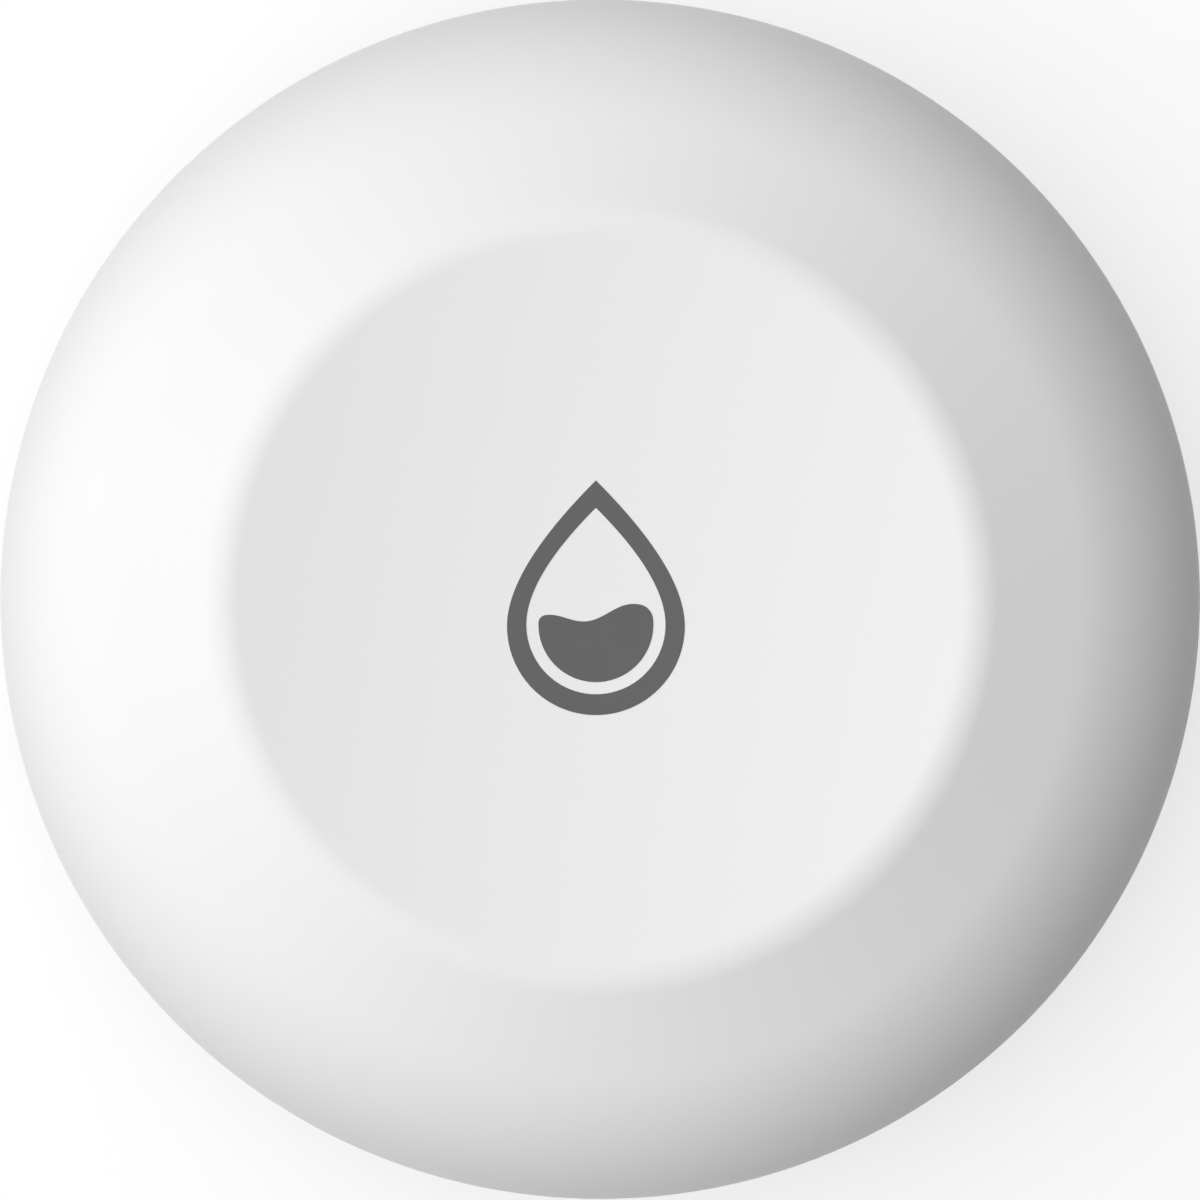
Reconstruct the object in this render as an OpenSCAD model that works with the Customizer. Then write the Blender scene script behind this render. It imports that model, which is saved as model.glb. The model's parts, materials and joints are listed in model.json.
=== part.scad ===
// Water leak sensor: a round floor puck with a dished top, a sealed case and probe pins underneath.
// Millimetres, +Z up. The origin is on the floor below the middle of the puck.
// The droplet pictogram stands upright when it is seen from above with +Y pointing up the page.

/* [Case] */
// Diameter at the widest ring of the case
body_d = 56; // [54:0.5:66]
// Thickness of the cover and of the base floor
wall = 1.4; // [1.2:0.1:1.6]
// Height of the widest ring above the floor
belt_z = 5.3; // [5:0.1:6]
// Height of the cover's skirt below the widest ring
skirt_h = 1.4; // [1:0.1:1.6]
// Free height between the cell clip and the inside of the dish
headroom = 0.45; // [0.3:0.05:2]
// Height of the shadow gap at the parting line
seam_h = 0.3; // [0.2:0.05:0.5]
// Depth of the shadow gap at the parting line
seam_depth = 0.4; // [0.2:0.05:0.6]

/* [Dish] */
// Diameter of the ridge around the dish
ridge_d = 34.4; // [30:0.1:38]
// Depth of the dish below its ridge
dish_depth = 1.2; // [0.7:0.05:1.5]
// Radius that rounds the ridge over
ridge_round = 2.8; // [2:0.1:4.5]
// Angle at which the rim falls away outside the ridge
rim_slope = 26.5; // [18:0.5:32]

/* [Pictogram] */
// Width of the droplet, which is the diameter of its round end
drop_w = 8.26; // [6:0.02:10]
// Height of the droplet from its round end to its tip
drop_h = 10.9; // [9:0.1:13]
// Line width of the droplet
drop_line = 0.9; // [0.6:0.05:1.2]
// Gap between the droplet's line and the water inside it
drop_gap = 0.56; // [0.3:0.02:0.8]
// Rise of the inner outline and the water, which makes the line thicker at the bottom
drop_lift = 0.07; // [0:0.01:0.15]
// Depth that the pictogram is moulded into the dish
drop_depth = 0.4; // [0.2:0.05:0.6]
// Sideways place of the droplet's round end
drop_x = -0.2; // [-1:0.05:1]
// Place of the droplet's round end towards its tip
drop_y = -1.25; // [-2:0.05:0]
// Height of the water's mean surface above the middle of the round end
wave_level = 0.48; // [0:0.01:1]
// Height of the water's waves
wave_height = 0.27; // [0:0.01:0.5]
// Length of one wave
wave_length = 3.9; // [3:0.1:6]
// Place of a wave crest
wave_crest = 1.56; // [0:0.05:2.5]
// Rise of the water's surface for each millimetre to the right
wave_tilt = 0.13; // [0:0.01:0.3]
// Radius of the water's left corner
wave_round_left = 0.37; // [0.2:0.01:0.6]
// Radius of the water's right corner
wave_round_right = 0.75; // [0.2:0.01:0.9]

/* [Rim seal] */
// Thickness of the base's upright lip inside the cover
lip_t = 1; // [0.8:0.1:1.4]
// Height of the lip above the parting line
lip_h = 1.6; // [1:0.1:2]
// Clearance between the lip and the cover
lip_gap = 0.25; // [0.2:0.05:0.4]
// Width of the rim gasket
gasket_w = 0.7; // [0.5:0.05:0.8]
// Height of the rim gasket
gasket_h = 0.9; // [0.6:0.05:1.1]

/* [Case screws] */
// Thread diameter of the case screws
screw_d = 2; // [1.6:0.1:2.4]
// Thread length in the cover's boss
screw_grip = 5.6; // [4:0.1:6]
// Head diameter of the case screws
screw_head_d = 3.8; // [3.4:0.1:4]
// Head height of the case screws
screw_head_h = 1.2; // [0.9:0.1:1.3]
// Depth of the screw heads below the underside
screw_recess = 0.15; // [0.05:0.05:0.3]
// Gap between a screw head and its counterbore
screw_head_gap = 0.2; // [0.1:0.05:0.3]
// Thickness of the seal under each screw head
screw_seal_t = 0.4; // [0.3:0.05:0.5]
// Wall around a screw in the cover's boss
boss_wall = 1.25; // [1:0.05:1.5]
// Wall around the counterbore in the base's pillar
pillar_wall = 0.95; // [0.8:0.05:1.2]

/* [Feet] */
// Height that the feet lift the case off the floor
foot_h = 0.8; // [0.7:0.05:1.2]
// Diameter of a foot
foot_d = 5.6; // [4.5:0.1:5.8]
// Depth of a foot's seat in the base
foot_seat = 0.4; // [0.3:0.05:0.6]

/* [Probes] */
// Distance between the two pins of a pair, with a case screw between them
pin_pitch = 9.4; // [9:0.1:10]
// Diameter of a pin's shank
pin_d = 1.5; // [1.2:0.05:1.8]
// Diameter of a pin's outer head
pin_head_d = 3.2; // [3:0.1:3.6]
// Height that a pin's head stands below the underside
pin_proud = 0.55; // [0.4:0.05:0.6]
// Diameter of a pin's inner collar
pin_collar_d = 2.4; // [2.2:0.1:2.8]
// Thickness of a pin's inner collar
pin_collar_t = 0.4; // [0.3:0.05:0.6]
// Width of the seal's pocket around a pin
pin_pocket = 0.55; // [0.4:0.05:0.65]
// Depth of the seal's pocket around a pin
pin_pocket_h = 0.5; // [0.4:0.05:0.6]
// Width of the spring that joins a pin to the board
spring_w = 1.2; // [0.8:0.1:1.6]
// Thickness of that spring's strip
spring_t = 0.15; // [0.1:0.01:0.2]
// Length of that spring's soldered pad
spring_pad = 3.3; // [2.6:0.1:3.6]

/* [Board] */
// Thickness of the circuit board
board_t = 1; // [0.8:0.1:1.2]
// Height of the board above the base's floor
board_lift = 2.2; // [2.1:0.1:3]
// Gap between the board's edge and the case
board_gap = 0.5; // [0.3:0.05:0.8]
// Gap between the board and a cover boss that passes it
notch_gap = 0.4; // [0.3:0.05:0.6]
// Diameter of a board post
post_d = 4; // [3.6:0.1:4.4]
// Diameter of a board screw's thread
board_screw_d = 1.6; // [1.4:0.1:1.8]
// Head diameter of a board screw
board_head_d = 3.2; // [2.8:0.1:3.6]
// Head height of a board screw
board_head_h = 1.1; // [0.8:0.1:1.2]

/* [Coin cell] */
// Diameter of the coin cell
cell_d = 24.5; // [20:0.1:24.5]
// Height of the coin cell
cell_h = 7.7; // [3:0.1:8]
// Thickness of the clip over the cell
clip_t = 0.3; // [0.2:0.02:0.4]
// Gap between the cell and the clip's side walls
clip_gap = 0.1; // [0.05:0.01:0.2]
// Width of the clip's bridge over the cell
clip_w = 13; // [9:0.5:16]
// Length of the clip's soldered tabs
clip_tab = 1.7; // [1:0.1:1.8]
// Thickness of the contact plate under the cell
contact_t = 0.3; // [0.2:0.02:0.4]
// Diameter of the contact plate
contact_d = 12; // [8:0.5:16]

/* [Power button] */
// Diameter of the button
key_d = 7; // [6:0.1:8]
// Depth of the button's face below the underside
key_recess = 0.3; // [0.25:0.05:0.5]
// Height of the button's body above the inside floor
key_rise = 0.1; // [0.05:0.05:0.15]
// Diameter of the button's stem
key_stem_d = 2.4; // [2:0.1:3]
// Width of the soft ring around the button
key_seal_w = 1.2; // [0.9:0.1:1.5]
// Travel of the button and the switch plunger
key_travel = 0.35; // [0.2:0.05:0.4]
// Side of the switch under the board
switch_w = 4.5; // [4:0.1:5]
// Height of the switch body
switch_h = 1.2; // [1.1:0.05:1.3]
// Diameter of the switch plunger
plunger_d = 2; // [1.6:0.1:2.4]
// Height that the pressed plunger still stands out of the switch plate
plunger_spare = 0.15; // [0.1:0.05:0.2]
// Depth of the plain recess around the button
label_depth = 0.2; // [0.1:0.05:0.3]
// Diameter of the plain recess around the button
label_d = 27; // [22:0.5:29]

/* [Indicator] */
// Distance of the light guide from the middle
guide_y = 9; // [8.5:0.1:10]
// Diameter of the light guide
guide_d = 2; // [1.5:0.1:2.4]
// Diameter of the light guide's flange
guide_flange_d = 3.4; // [3:0.1:4]
// Thickness of the light guide's flange
guide_flange_t = 0.5; // [0.3:0.05:0.6]
// Length of the lamp chip under the board
lamp_l = 2; // [1.6:0.1:2.4]
// Width of the lamp chip under the board
lamp_w = 1.2; // [0.8:0.1:1.6]
// Height of the lamp chip under the board
lamp_h = 0.7; // [0.5:0.05:0.8]

/* [Radio module] */
// Size of the module along the board's edge
radio_w = 11.5; // [10:0.1:12]
// Size of the module towards the board's edge
radio_l = 8; // [7:0.1:9]
// Thickness of the module's board
radio_t = 0.8; // [0.6:0.05:1]
// Width of the module's shield
shield_w = 7.6; // [6.5:0.1:7.8]
// Height of the module's shield
shield_h = 1.7; // [1.4:0.05:2]
// Thickness of the shield's sheet
shield_t = 0.2; // [0.15:0.01:0.25]

/* [Components] */
// Height of the capacitor can
can_h = 4.3; // [3:0.1:4.5]
// Diameter of the capacitor can
can_d = 5; // [4:0.1:5.5]
// Side of the inductor
coil_w = 4; // [3:0.1:4.5]
// Height of the inductor
coil_h = 1.9; // [1.2:0.1:2.5]
// Length of the amplifier chip's body
amp_l = 4.9; // [4:0.1:5.2]
// Width of the amplifier chip's body
amp_w = 3.9; // [3.5:0.1:4]
// Height of the amplifier chip's body
amp_h = 1.4; // [1:0.1:1.6]
// Length of the clock crystal
crystal_l = 5; // [4:0.1:6]
// Width of the clock crystal
crystal_w = 3.2; // [2.5:0.1:3.6]
// Height of the clock crystal
crystal_h = 1.1; // [0.8:0.05:1.4]
// Length of a small chip
chip_l = 1.6; // [1:0.1:2]
// Width of a small chip
chip_w = 0.8; // [0.5:0.05:1]

/* [Hidden] */
$fn = 72;
// Clearance of pieces that sit in or on each other
fit_gap = 0.05;
// How far joined shapes reach into each other, and how far cuts reach past a face
bite = 0.2;
past = 1;
// Straight pieces that stand for each round stretch of an outline
arc_steps = 12;
small_steps = 6;

// Angles of what stands on the ring of the base
screw_angles = [0 : 90 : 270];
foot_angles = [45 : 90 : 315];
board_screw_angles = [135, 315];

// Heights, from the floor up
underside_z = foot_h;
floor_z = underside_z + wall;
part_z = belt_z - skirt_h;
rim_z = part_z - fit_gap;
board_z = floor_z + board_lift;
board_top = board_z + board_t;
cell_z = board_top + contact_t;
cell_top = cell_z + cell_h;
body_h = cell_top + clip_t + headroom + wall + dish_depth;

// Radii of the case, from the outside in
body_r = body_d / 2;
lower_r = belt_z - underside_z;
flat_r = body_r - lower_r;
skirt_in_r = flat_r + sqrt(pow(lower_r - wall, 2) - pow(skirt_h, 2));
skirt_out_r = flat_r + sqrt(pow(lower_r, 2) - pow(skirt_h, 2));
rim_r = skirt_out_r - seam_depth;
gasket_r = (skirt_in_r + rim_r) / 2;
lip_r = skirt_in_r - lip_gap;
cavity_r = lip_r - lip_t;
board_r = cavity_r - board_gap;
ring_inset = 3;
ring_r = flat_r - ring_inset;

// Screws, bosses and pillars
boss_d = screw_d + 2 * boss_wall;
bore_d = screw_head_d + 2 * screw_head_gap;
bore_h = screw_recess + screw_head_h + screw_seal_t;
pillar_d = bore_d + 2 * pillar_wall;
boss_z = board_z + fit_gap;
seat_z = underside_z + bore_h;
screw_spare = 0.6;

// Probe pins and their springs
pin_top = floor_z + pin_collar_t;
spring_gap = board_z - pin_top;

// Stepped underside of the coin cell
cell_step = 0.35;
cell_cap_inset = 1.5;
cell_cap_d = cell_d - 2 * cell_cap_inset;

// Cell clip and the free ring of the board around it
clip_r = cell_d / 2 + clip_gap + clip_t;
annulus_r = (clip_r + board_r) / 2;

// Button and switch
key_hole_d = key_d + 2 * key_seal_w;
key_z = underside_z + label_depth + key_recess;
key_top = floor_z + key_rise;
switch_z = board_z - switch_h;
plate_t = 0.15;
plunger_z = switch_z - plate_t - plunger_spare - key_travel;

// Arcs of the case's outline
dish_slope = 2 * atan(dish_depth / (ridge_d / 2));
dish_r = ridge_d / 2 / sin(dish_slope) - ridge_round;
dish_c = [0, body_h - dish_depth + dish_r];
ridge_c = [ridge_d / 2, body_h - ridge_round];
rim_run = [body_r, belt_z] - ridge_c;
shoulder_r = (ridge_round - cos(rim_slope) * rim_run.y - sin(rim_slope) * rim_run.x) / (1 - sin(rim_slope));
shoulder_c = [body_r - shoulder_r, belt_z];

// Points and paths
function arc(c, r, from, to, n) =
    [for (i = [0 : n]) c + r * [cos(from + (to - from) * i / n), sin(from + (to - from) * i / n)]];
function curve(a, b, c, t) = (1 - t) * (1 - t) * a + 2 * t * (1 - t) * b + t * t * c;
function unit(v) = v / norm(v);
function side(p, i) =
    let (before = unit(p[max(i, 1)] - p[max(i, 1) - 1]),
         after = unit(p[min(i, len(p) - 2) + 1] - p[min(i, len(p) - 2)]),
         along = unit(before + after))
    [-along.y, along.x];
function ribbon(p, t) = concat(
    [for (i = [0 : len(p) - 1]) p[i] + t / 2 * side(p, i)],
    [for (i = [len(p) - 1 : -1 : 0]) p[i] - t / 2 * side(p, i)]);

// Outline of the cover from the middle of the dish to the parting line, inset by t
function dish_line(t) =
    let (curved = arc(dish_c, dish_r + t, dish_slope / arc_steps - 90, dish_slope - 90, arc_steps - 1))
    concat([[0, curved[0].y]], curved);
function cover_line(t) = concat(
    dish_line(t),
    arc(ridge_c, ridge_round - t, 90 + dish_slope, 90 - rim_slope, arc_steps),
    arc(shoulder_c, shoulder_r - t, 90 - rim_slope, 0, 2 * arc_steps),
    lower_line(t, 0, -asin(skirt_h / (lower_r - t))));
function lower_line(t, from, to) = arc([flat_r, belt_z], lower_r - t, from, to, small_steps);

// Outline of the droplet with its round end at the origin and a square tip
function drop_outline(r, tip) = concat(
    arc([0, 0], r, 180, 360, 2 * arc_steps),
    [for (i = [1 : arc_steps]) curve([r, 0], [r, tip - r], [0, tip], i / arc_steps)],
    [for (i = [1 : arc_steps - 1]) curve([0, tip], [-r, tip - r], [-r, 0], i / arc_steps)]);
function wave(x) = wave_level + wave_tilt * x + wave_height * cos(360 * (x - wave_crest) / wave_length);

// Places
module on_ring(angles) for (a = angles) rotate(a) translate([ring_r, 0, 0]) children();
module at_pair(angle) on_ring([angle]) for (s = [-1, 1]) translate([0, s * pin_pitch / 2, 0]) children();
module at_pins() for (a = screw_angles) at_pair(a) children();
module on_board(angle, along) rotate(angle) translate([annulus_r, along, board_top]) children();
module disc(d, from, to) translate([0, 0, from]) cylinder(d = d, h = to - from);
module block(size, from) translate([-size.x / 2, -size.y / 2, from]) cube(size);

// Cover and pictogram
module cover_solid(t, bottom) {
    edge = flat_r + sqrt(pow(lower_r - t, 2) - pow(skirt_h, 2));
    rotate_extrude() polygon(concat(cover_line(t), [[edge, bottom], [0, bottom]]));
}

module top_cover() color("white") difference() {
    cover_solid(0, part_z);
    difference() {
        cover_solid(wall, part_z - past);
        on_ring(screw_angles) disc(boss_d, boss_z, body_h);
    }
    on_ring(screw_angles) disc(screw_d + 2 * fit_gap, boss_z - past, board_z + screw_grip + screw_spare);
    in_dish() drop_line_area();
    in_dish() drop_water_area();
}

module drop_line_area() difference() {
    polygon(drop_outline(drop_w / 2, drop_h - drop_w / 2));
    translate([0, drop_lift])
        polygon(drop_outline(drop_w / 2 - drop_line, drop_h - drop_w / 2 - drop_line * sqrt(2) - drop_lift));
}

module drop_water_area() translate([0, drop_lift]) {
    rounded_half(-1, wave_round_left) water_area();
    rounded_half(1, wave_round_right) water_area();
}

module rounded_half(side, radius) intersection() {
    offset(r = radius) offset(delta = -radius) children();
    translate([side * drop_w / 2, 0]) square([drop_w, 2 * drop_w], center = true);
}

module water_area() intersection() {
    water_r = drop_w / 2 - drop_line - drop_gap;
    wave_steps = 4 * arc_steps;
    circle(r = water_r);
    polygon(concat(
        [[water_r + past, -water_r - past], [water_r + past, wave(water_r + past)]],
        [for (i = [wave_steps : -1 : 0]) let (x = water_r * (2 * i / wave_steps - 1)) [x, wave(x)]],
        [[-water_r - past, wave(-water_r - past)], [-water_r - past, -water_r - past]]));
}

module in_dish() intersection() {
    translate([drop_x, drop_y, dish_c.y - dish_r - past]) linear_extrude(ridge_d) children();
    rotate_extrude() polygon(concat(
        dish_line(0),
        [for (i = [arc_steps : -1 : 0]) dish_line(drop_depth)[i]]));
}

module droplet_line() color("dimgray") in_dish() drop_line_area();

module droplet_water() color("dimgray") in_dish() drop_water_area();

// Base, its gasket, screws and feet
module base_shell() color("whitesmoke") difference() {
    union() {
        rotate_extrude() polygon(base_line());
        on_ring(screw_angles) disc(pillar_d, floor_z - bite, board_z);
        on_ring(board_screw_angles) disc(post_d, floor_z - bite, board_z);
    }
    disc(label_d, underside_z - past, underside_z + label_depth);
    disc(key_hole_d, underside_z, floor_z + past);
    translate([0, guide_y]) disc(guide_d + 2 * fit_gap, underside_z, floor_z + past);
    on_ring(screw_angles) {
        disc(bore_d, underside_z - past, seat_z);
        disc(screw_d + 6 * fit_gap, seat_z - past, board_z + past);
    }
    on_ring(board_screw_angles) disc(board_screw_d + 2 * fit_gap, floor_z - bite, board_z + past);
    on_ring(foot_angles) disc(foot_d + 2 * fit_gap, underside_z - past, underside_z + foot_seat);
    at_pins() {
        disc(pin_d + 2 * fit_gap, underside_z, floor_z + past);
        disc(pin_d + 2 * pin_pocket, underside_z - past, underside_z + pin_pocket_h);
    }
}

function base_line() = concat(
    [[0, underside_z]],
    lower_line(0, -90, -asin((skirt_h + seam_h) / lower_r)),
    [[rim_r, part_z - seam_h], [rim_r, rim_z],
     [gasket_r + gasket_w / 2 + fit_gap, rim_z], [gasket_r + gasket_w / 2 + fit_gap, rim_z - gasket_h],
     [gasket_r - gasket_w / 2 - fit_gap, rim_z - gasket_h], [gasket_r - gasket_w / 2 - fit_gap, rim_z],
     [lip_r, rim_z], [lip_r, part_z + lip_h], [cavity_r, part_z + lip_h],
     [cavity_r, floor_z], [0, floor_z]]);

module rim_gasket() color("gray") rotate_extrude()
    translate([gasket_r - gasket_w / 2, rim_z - gasket_h]) square([gasket_w, gasket_h]);

module case_screws() color("silver") on_ring(screw_angles) difference() {
    head_z = seat_z - screw_seal_t;
    slot_w = 0.6;
    slot_l = screw_head_d * 0.6;
    union() {
        disc(screw_head_d, head_z - screw_head_h, head_z);
        disc(screw_d, head_z - bite, board_z + screw_grip);
    }
    for (turn = [0, 90]) rotate(turn)
        block([slot_l, slot_w, past + screw_head_h / 2], head_z - screw_head_h - past);
}

module screw_seals() color("dimgray") on_ring(screw_angles) difference() {
    disc(screw_head_d, seat_z - screw_seal_t, seat_z);
    disc(screw_d + 2 * fit_gap, seat_z - screw_seal_t - past, seat_z + past);
}

module rubber_feet() color("slategray") on_ring(foot_angles) rotate_extrude() polygon([
    [0, 0], [foot_d / 2 - foot_h / 2, 0], [foot_d / 2, foot_h / 2],
    [foot_d / 2, underside_z + foot_seat], [0, underside_z + foot_seat]]);

// Probe pins, their seals and their springs
module probe_pair(angle) color("gold") at_pair(angle) rotate_extrude() polygon(concat(
    [[0, underside_z - pin_proud]],
    arc([pin_head_d / 2 - pin_proud, underside_z], pin_proud, -90, 0, small_steps),
    [[pin_d / 2, underside_z], [pin_d / 2, floor_z], [pin_collar_d / 2, floor_z],
     [pin_collar_d / 2, pin_top], [0, pin_top]]));

module probe_seals() color("dimgray") at_pins() difference() {
    disc(pin_d + 2 * pin_pocket - 2 * fit_gap, underside_z, underside_z + pin_pocket_h);
    disc(pin_d + 2 * fit_gap, underside_z - past, underside_z + pin_pocket_h + past);
}

module probe_springs() color("khaki") at_pins() {
    bend_r = spring_gap / 4;
    bend_x = bend_r;
    solder_z = board_z - spring_t / 2;
    touch_z = pin_top + spring_t / 2 + fit_gap;
    path = concat(
        [[bend_x - spring_pad, solder_z]],
        arc([bend_x, solder_z - bend_r], bend_r, 90, -90, small_steps),
        [[-pin_d / 4, touch_z], [-pin_d, touch_z + bend_r]]);
    rotate([90, 0, 0]) linear_extrude(spring_w, center = true) polygon(ribbon(path, spring_t));
}

// Circuit board
module circuit_board() color("seagreen") difference() {
    notch_d = boss_d + 2 * notch_gap;
    disc(2 * board_r, board_z, board_top);
    on_ring(screw_angles) {
        disc(notch_d, board_z - past, board_top + past);
        translate([0, -notch_d / 2, board_z - past]) cube([board_r, notch_d, board_t + 2 * past]);
    }
    on_ring(board_screw_angles) disc(board_screw_d + 4 * fit_gap, board_z - past, board_top + past);
}

module board_screws() color("silver") on_ring(board_screw_angles) difference() {
    slot_w = 0.5;
    union() {
        disc(board_head_d, board_top, board_top + board_head_h);
        disc(board_screw_d, floor_z, board_top + bite);
    }
    for (turn = [0, 90]) rotate(turn)
        block([board_head_d * 0.6, slot_w, past + board_head_h / 2], board_top + board_head_h / 2);
}

// Coin cell, its clip and its contact
module cell_can() color("lightgray") rotate_extrude() {
    edge_r = 0.5;
    polygon(concat(
        [[0, cell_z + cell_step], [cell_d / 2, cell_z + cell_step]],
        arc([cell_d / 2 - edge_r, cell_top - edge_r], edge_r, 0, 90, small_steps),
        [[0, cell_top]]));
}

module cell_cap() color("darkgray") disc(cell_cap_d, cell_z, cell_z + cell_step);

module cell_seal() color("dimgray") difference() {
    seal_w = 0.5;
    disc(cell_cap_d + 2 * seal_w, cell_z + cell_step / 2, cell_z + cell_step);
    disc(cell_cap_d, cell_z, cell_z + cell_step + past);
}

module cell_clip() color("silver") {
    window_d = cell_d / 3;
    tab_w = 4;
    intersection() {
        difference() {
            disc(2 * clip_r, board_top, cell_top + clip_t);
            disc(2 * (clip_r - clip_t), board_top - past, cell_top);
            disc(window_d, cell_top - past, cell_top + clip_t + past);
        }
        block([3 * clip_r, clip_w, cell_top + clip_t + past], 0);
    }
    for (s = [0, 180]) rotate(s)
        translate([clip_r - clip_t / 2, -tab_w / 2, board_top])
            cube([clip_tab + clip_t / 2, tab_w, clip_t]);
}

module cell_contact() color("khaki") difference() {
    slot_l = contact_d / 4;
    slot_w = 0.6;
    disc(contact_d, board_top, cell_z);
    for (a = [0 : 120 : 240]) rotate(a) translate([contact_d / 4, 0, 0])
        block([slot_l, slot_w, contact_t + 2 * past], board_top - past);
}

// Radio module
antenna_side = (radio_w - shield_w) / 2;

module on_radio() on_board(45, 0) children();

module radio_board() color("darkgreen") on_radio() block([radio_l, radio_w, radio_t], 0);

module radio_shield() color("silver") on_radio() translate([0, -antenna_side, radio_t]) difference() {
    shield_l = radio_l - 4 * shield_t;
    block([shield_l, shield_w, shield_h], 0);
    block([shield_l - 2 * shield_t, shield_w - 2 * shield_t, shield_h], -shield_t);
}

module radio_chip() color("dimgray") on_radio() translate([radio_l / 5, -antenna_side, radio_t])
    block([radio_l * 0.45, shield_w * 0.6, shield_h / 2], 0);

module radio_crystal() color("lightgray") on_radio() translate([-radio_l / 4, -antenna_side, radio_t])
    block([radio_l * 0.2, shield_w * 0.35, shield_h / 3], 0);

module radio_antenna() color("goldenrod") on_radio() {
    trace_t = 0.1;
    trace_w = 0.35;
    turns = 4;
    reach = radio_l - 4 * trace_w;
    width = radio_w - shield_w - 4 * trace_w;
    step = reach / (2 * turns);
    translate([-reach / 2, radio_w / 2 - width - trace_w, radio_t]) {
        for (i = [0 : 2 * turns]) translate([i * step - trace_w / 2, 0, 0]) cube([trace_w, width, trace_t]);
        for (i = [0 : 2 * turns - 1])
            translate([i * step - trace_w / 2, i % 2 == 0 ? width - trace_w : 0, 0])
                cube([step + trace_w, trace_w, trace_t]);
    }
}

// Other components on the board
side_shift = 6.2;
lead_t = 0.15;
lead_reach = 1.05;
lead_foot = 0.5;

module on_amplifier() on_board(135, side_shift) children();

module amplifier_chip() color("dimgray") on_amplifier() block([amp_l, amp_w, amp_h], lead_t);

module amplifier_leads() color("silver") on_amplifier() {
    lead_w = 0.4;
    lead_pitch = amp_l / 4;
    lead_z = lead_t + amp_h / 2;
    path = [[amp_w / 2, lead_z], [amp_w / 2 + lead_reach - lead_foot, lead_z],
            [amp_w / 2 + lead_reach - lead_foot, lead_t / 2], [amp_w / 2 + lead_reach, lead_t / 2]];
    for (turn = [0, 180], i = [-1.5 : 1.5]) rotate(turn + 90) translate([0, i * lead_pitch, 0])
        rotate([90, 0, 0]) linear_extrude(lead_w, center = true) polygon(ribbon(path, lead_t));
}

can_shift = -3.2;
can_base_w = can_d + 0.3;
can_base_h = 0.9;

module capacitor_base() color("dimgray") on_board(225, can_shift)
    block([can_base_w, can_base_w, can_base_h], 0);

module capacitor_can() color("lightgray") on_board(225, can_shift) rotate_extrude() {
    groove = 0.25;
    edge_r = 0.4;
    polygon(concat(
        [[0, can_base_h], [can_d / 2, can_base_h], [can_d / 2, can_base_h + groove],
         [can_d / 2 - groove, can_base_h + 2 * groove], [can_d / 2, can_base_h + 3 * groove]],
        arc([can_d / 2 - edge_r, can_base_h + can_h - edge_r], edge_r, 0, 90, small_steps),
        [[0, can_base_h + can_h]]));
}

module power_inductor() color("dimgray") on_board(225, -can_shift) difference() {
    rim = 0.4;
    block([coil_w, coil_w, coil_h], 0);
    difference() {
        disc(coil_w - 2 * rim, coil_h - rim, coil_h + past);
        disc(coil_w - 4 * rim, coil_h - 2 * rim, coil_h + 2 * past);
    }
}

module clock_crystal() color("lightgray") on_board(315, side_shift)
    block([crystal_w, crystal_l, crystal_h], 0);

chip_pitch = 2 * chip_w;
chip_rows = 3;
chip_shift = -side_shift;

module chip_row(angle, along, height) on_board(angle, along)
    for (i = [0 : chip_rows - 1]) translate([(i - (chip_rows - 1) / 2) * chip_pitch, 0, 0])
        block([chip_w, chip_l, height], 0);

module chip_capacitors() color("tan") {
    chip_row(135, chip_shift, chip_w);
    chip_row(315, chip_shift, chip_w);
}

module chip_resistors() color("dimgray") {
    chip_row(135, chip_shift - 1.5 * chip_l, chip_w / 2);
    chip_row(315, chip_shift - 1.5 * chip_l, chip_w / 2);
}

// Indicator lamp and its light guide
module indicator_lamp() color("ivory") translate([0, guide_y])
    block([lamp_l, lamp_w, lamp_h], board_z - lamp_h);

module light_guide() color("lightcyan") translate([0, guide_y]) {
    lamp_gap = 0.3;
    disc(guide_d, underside_z + label_depth, board_z - lamp_h - lamp_gap);
    disc(guide_flange_d, floor_z, floor_z + guide_flange_t);
}

// Power button, its soft ring and the switch under the board
module power_button() color("whitesmoke") {
    disc(key_d, key_z, key_top);
    disc(key_stem_d, key_top - bite, plunger_z - fit_gap);
}

module button_seal() color("silver") rotate_extrude() {
    in_r = key_d / 2 + fit_gap;
    out_r = key_hole_d / 2 - fit_gap;
    band = key_seal_w / 4;
    web_t = 0.3;
    low = key_z;
    high = floor_z - fit_gap;
    polygon([
        [in_r, low], [in_r + band, low], [in_r + band, high - web_t], [out_r - band, high - web_t],
        [out_r - band, low], [out_r, low], [out_r, high], [in_r, high]]);
}

module switch_body() color("dimgray") difference() {
    block([switch_w, switch_w, switch_h], switch_z);
    disc(plunger_d + 2 * fit_gap, switch_z - past, board_z - 2 * plate_t);
}

module switch_plate() color("silver") difference() {
    union() {
        block([switch_w, switch_w, plate_t], switch_z - plate_t);
        for (s = [-1, 1], t = [-1, 1]) translate([s * (switch_w + plate_t) / 2, t * switch_w / 3, 0])
            block([plate_t, switch_w / 5, switch_h + plate_t], switch_z - plate_t);
    }
    disc(plunger_d + 4 * fit_gap, switch_z - past, switch_z + bite);
}

module switch_plunger() color("black")
    disc(plunger_d, plunger_z, board_z - 3 * plate_t - key_travel);

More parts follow.
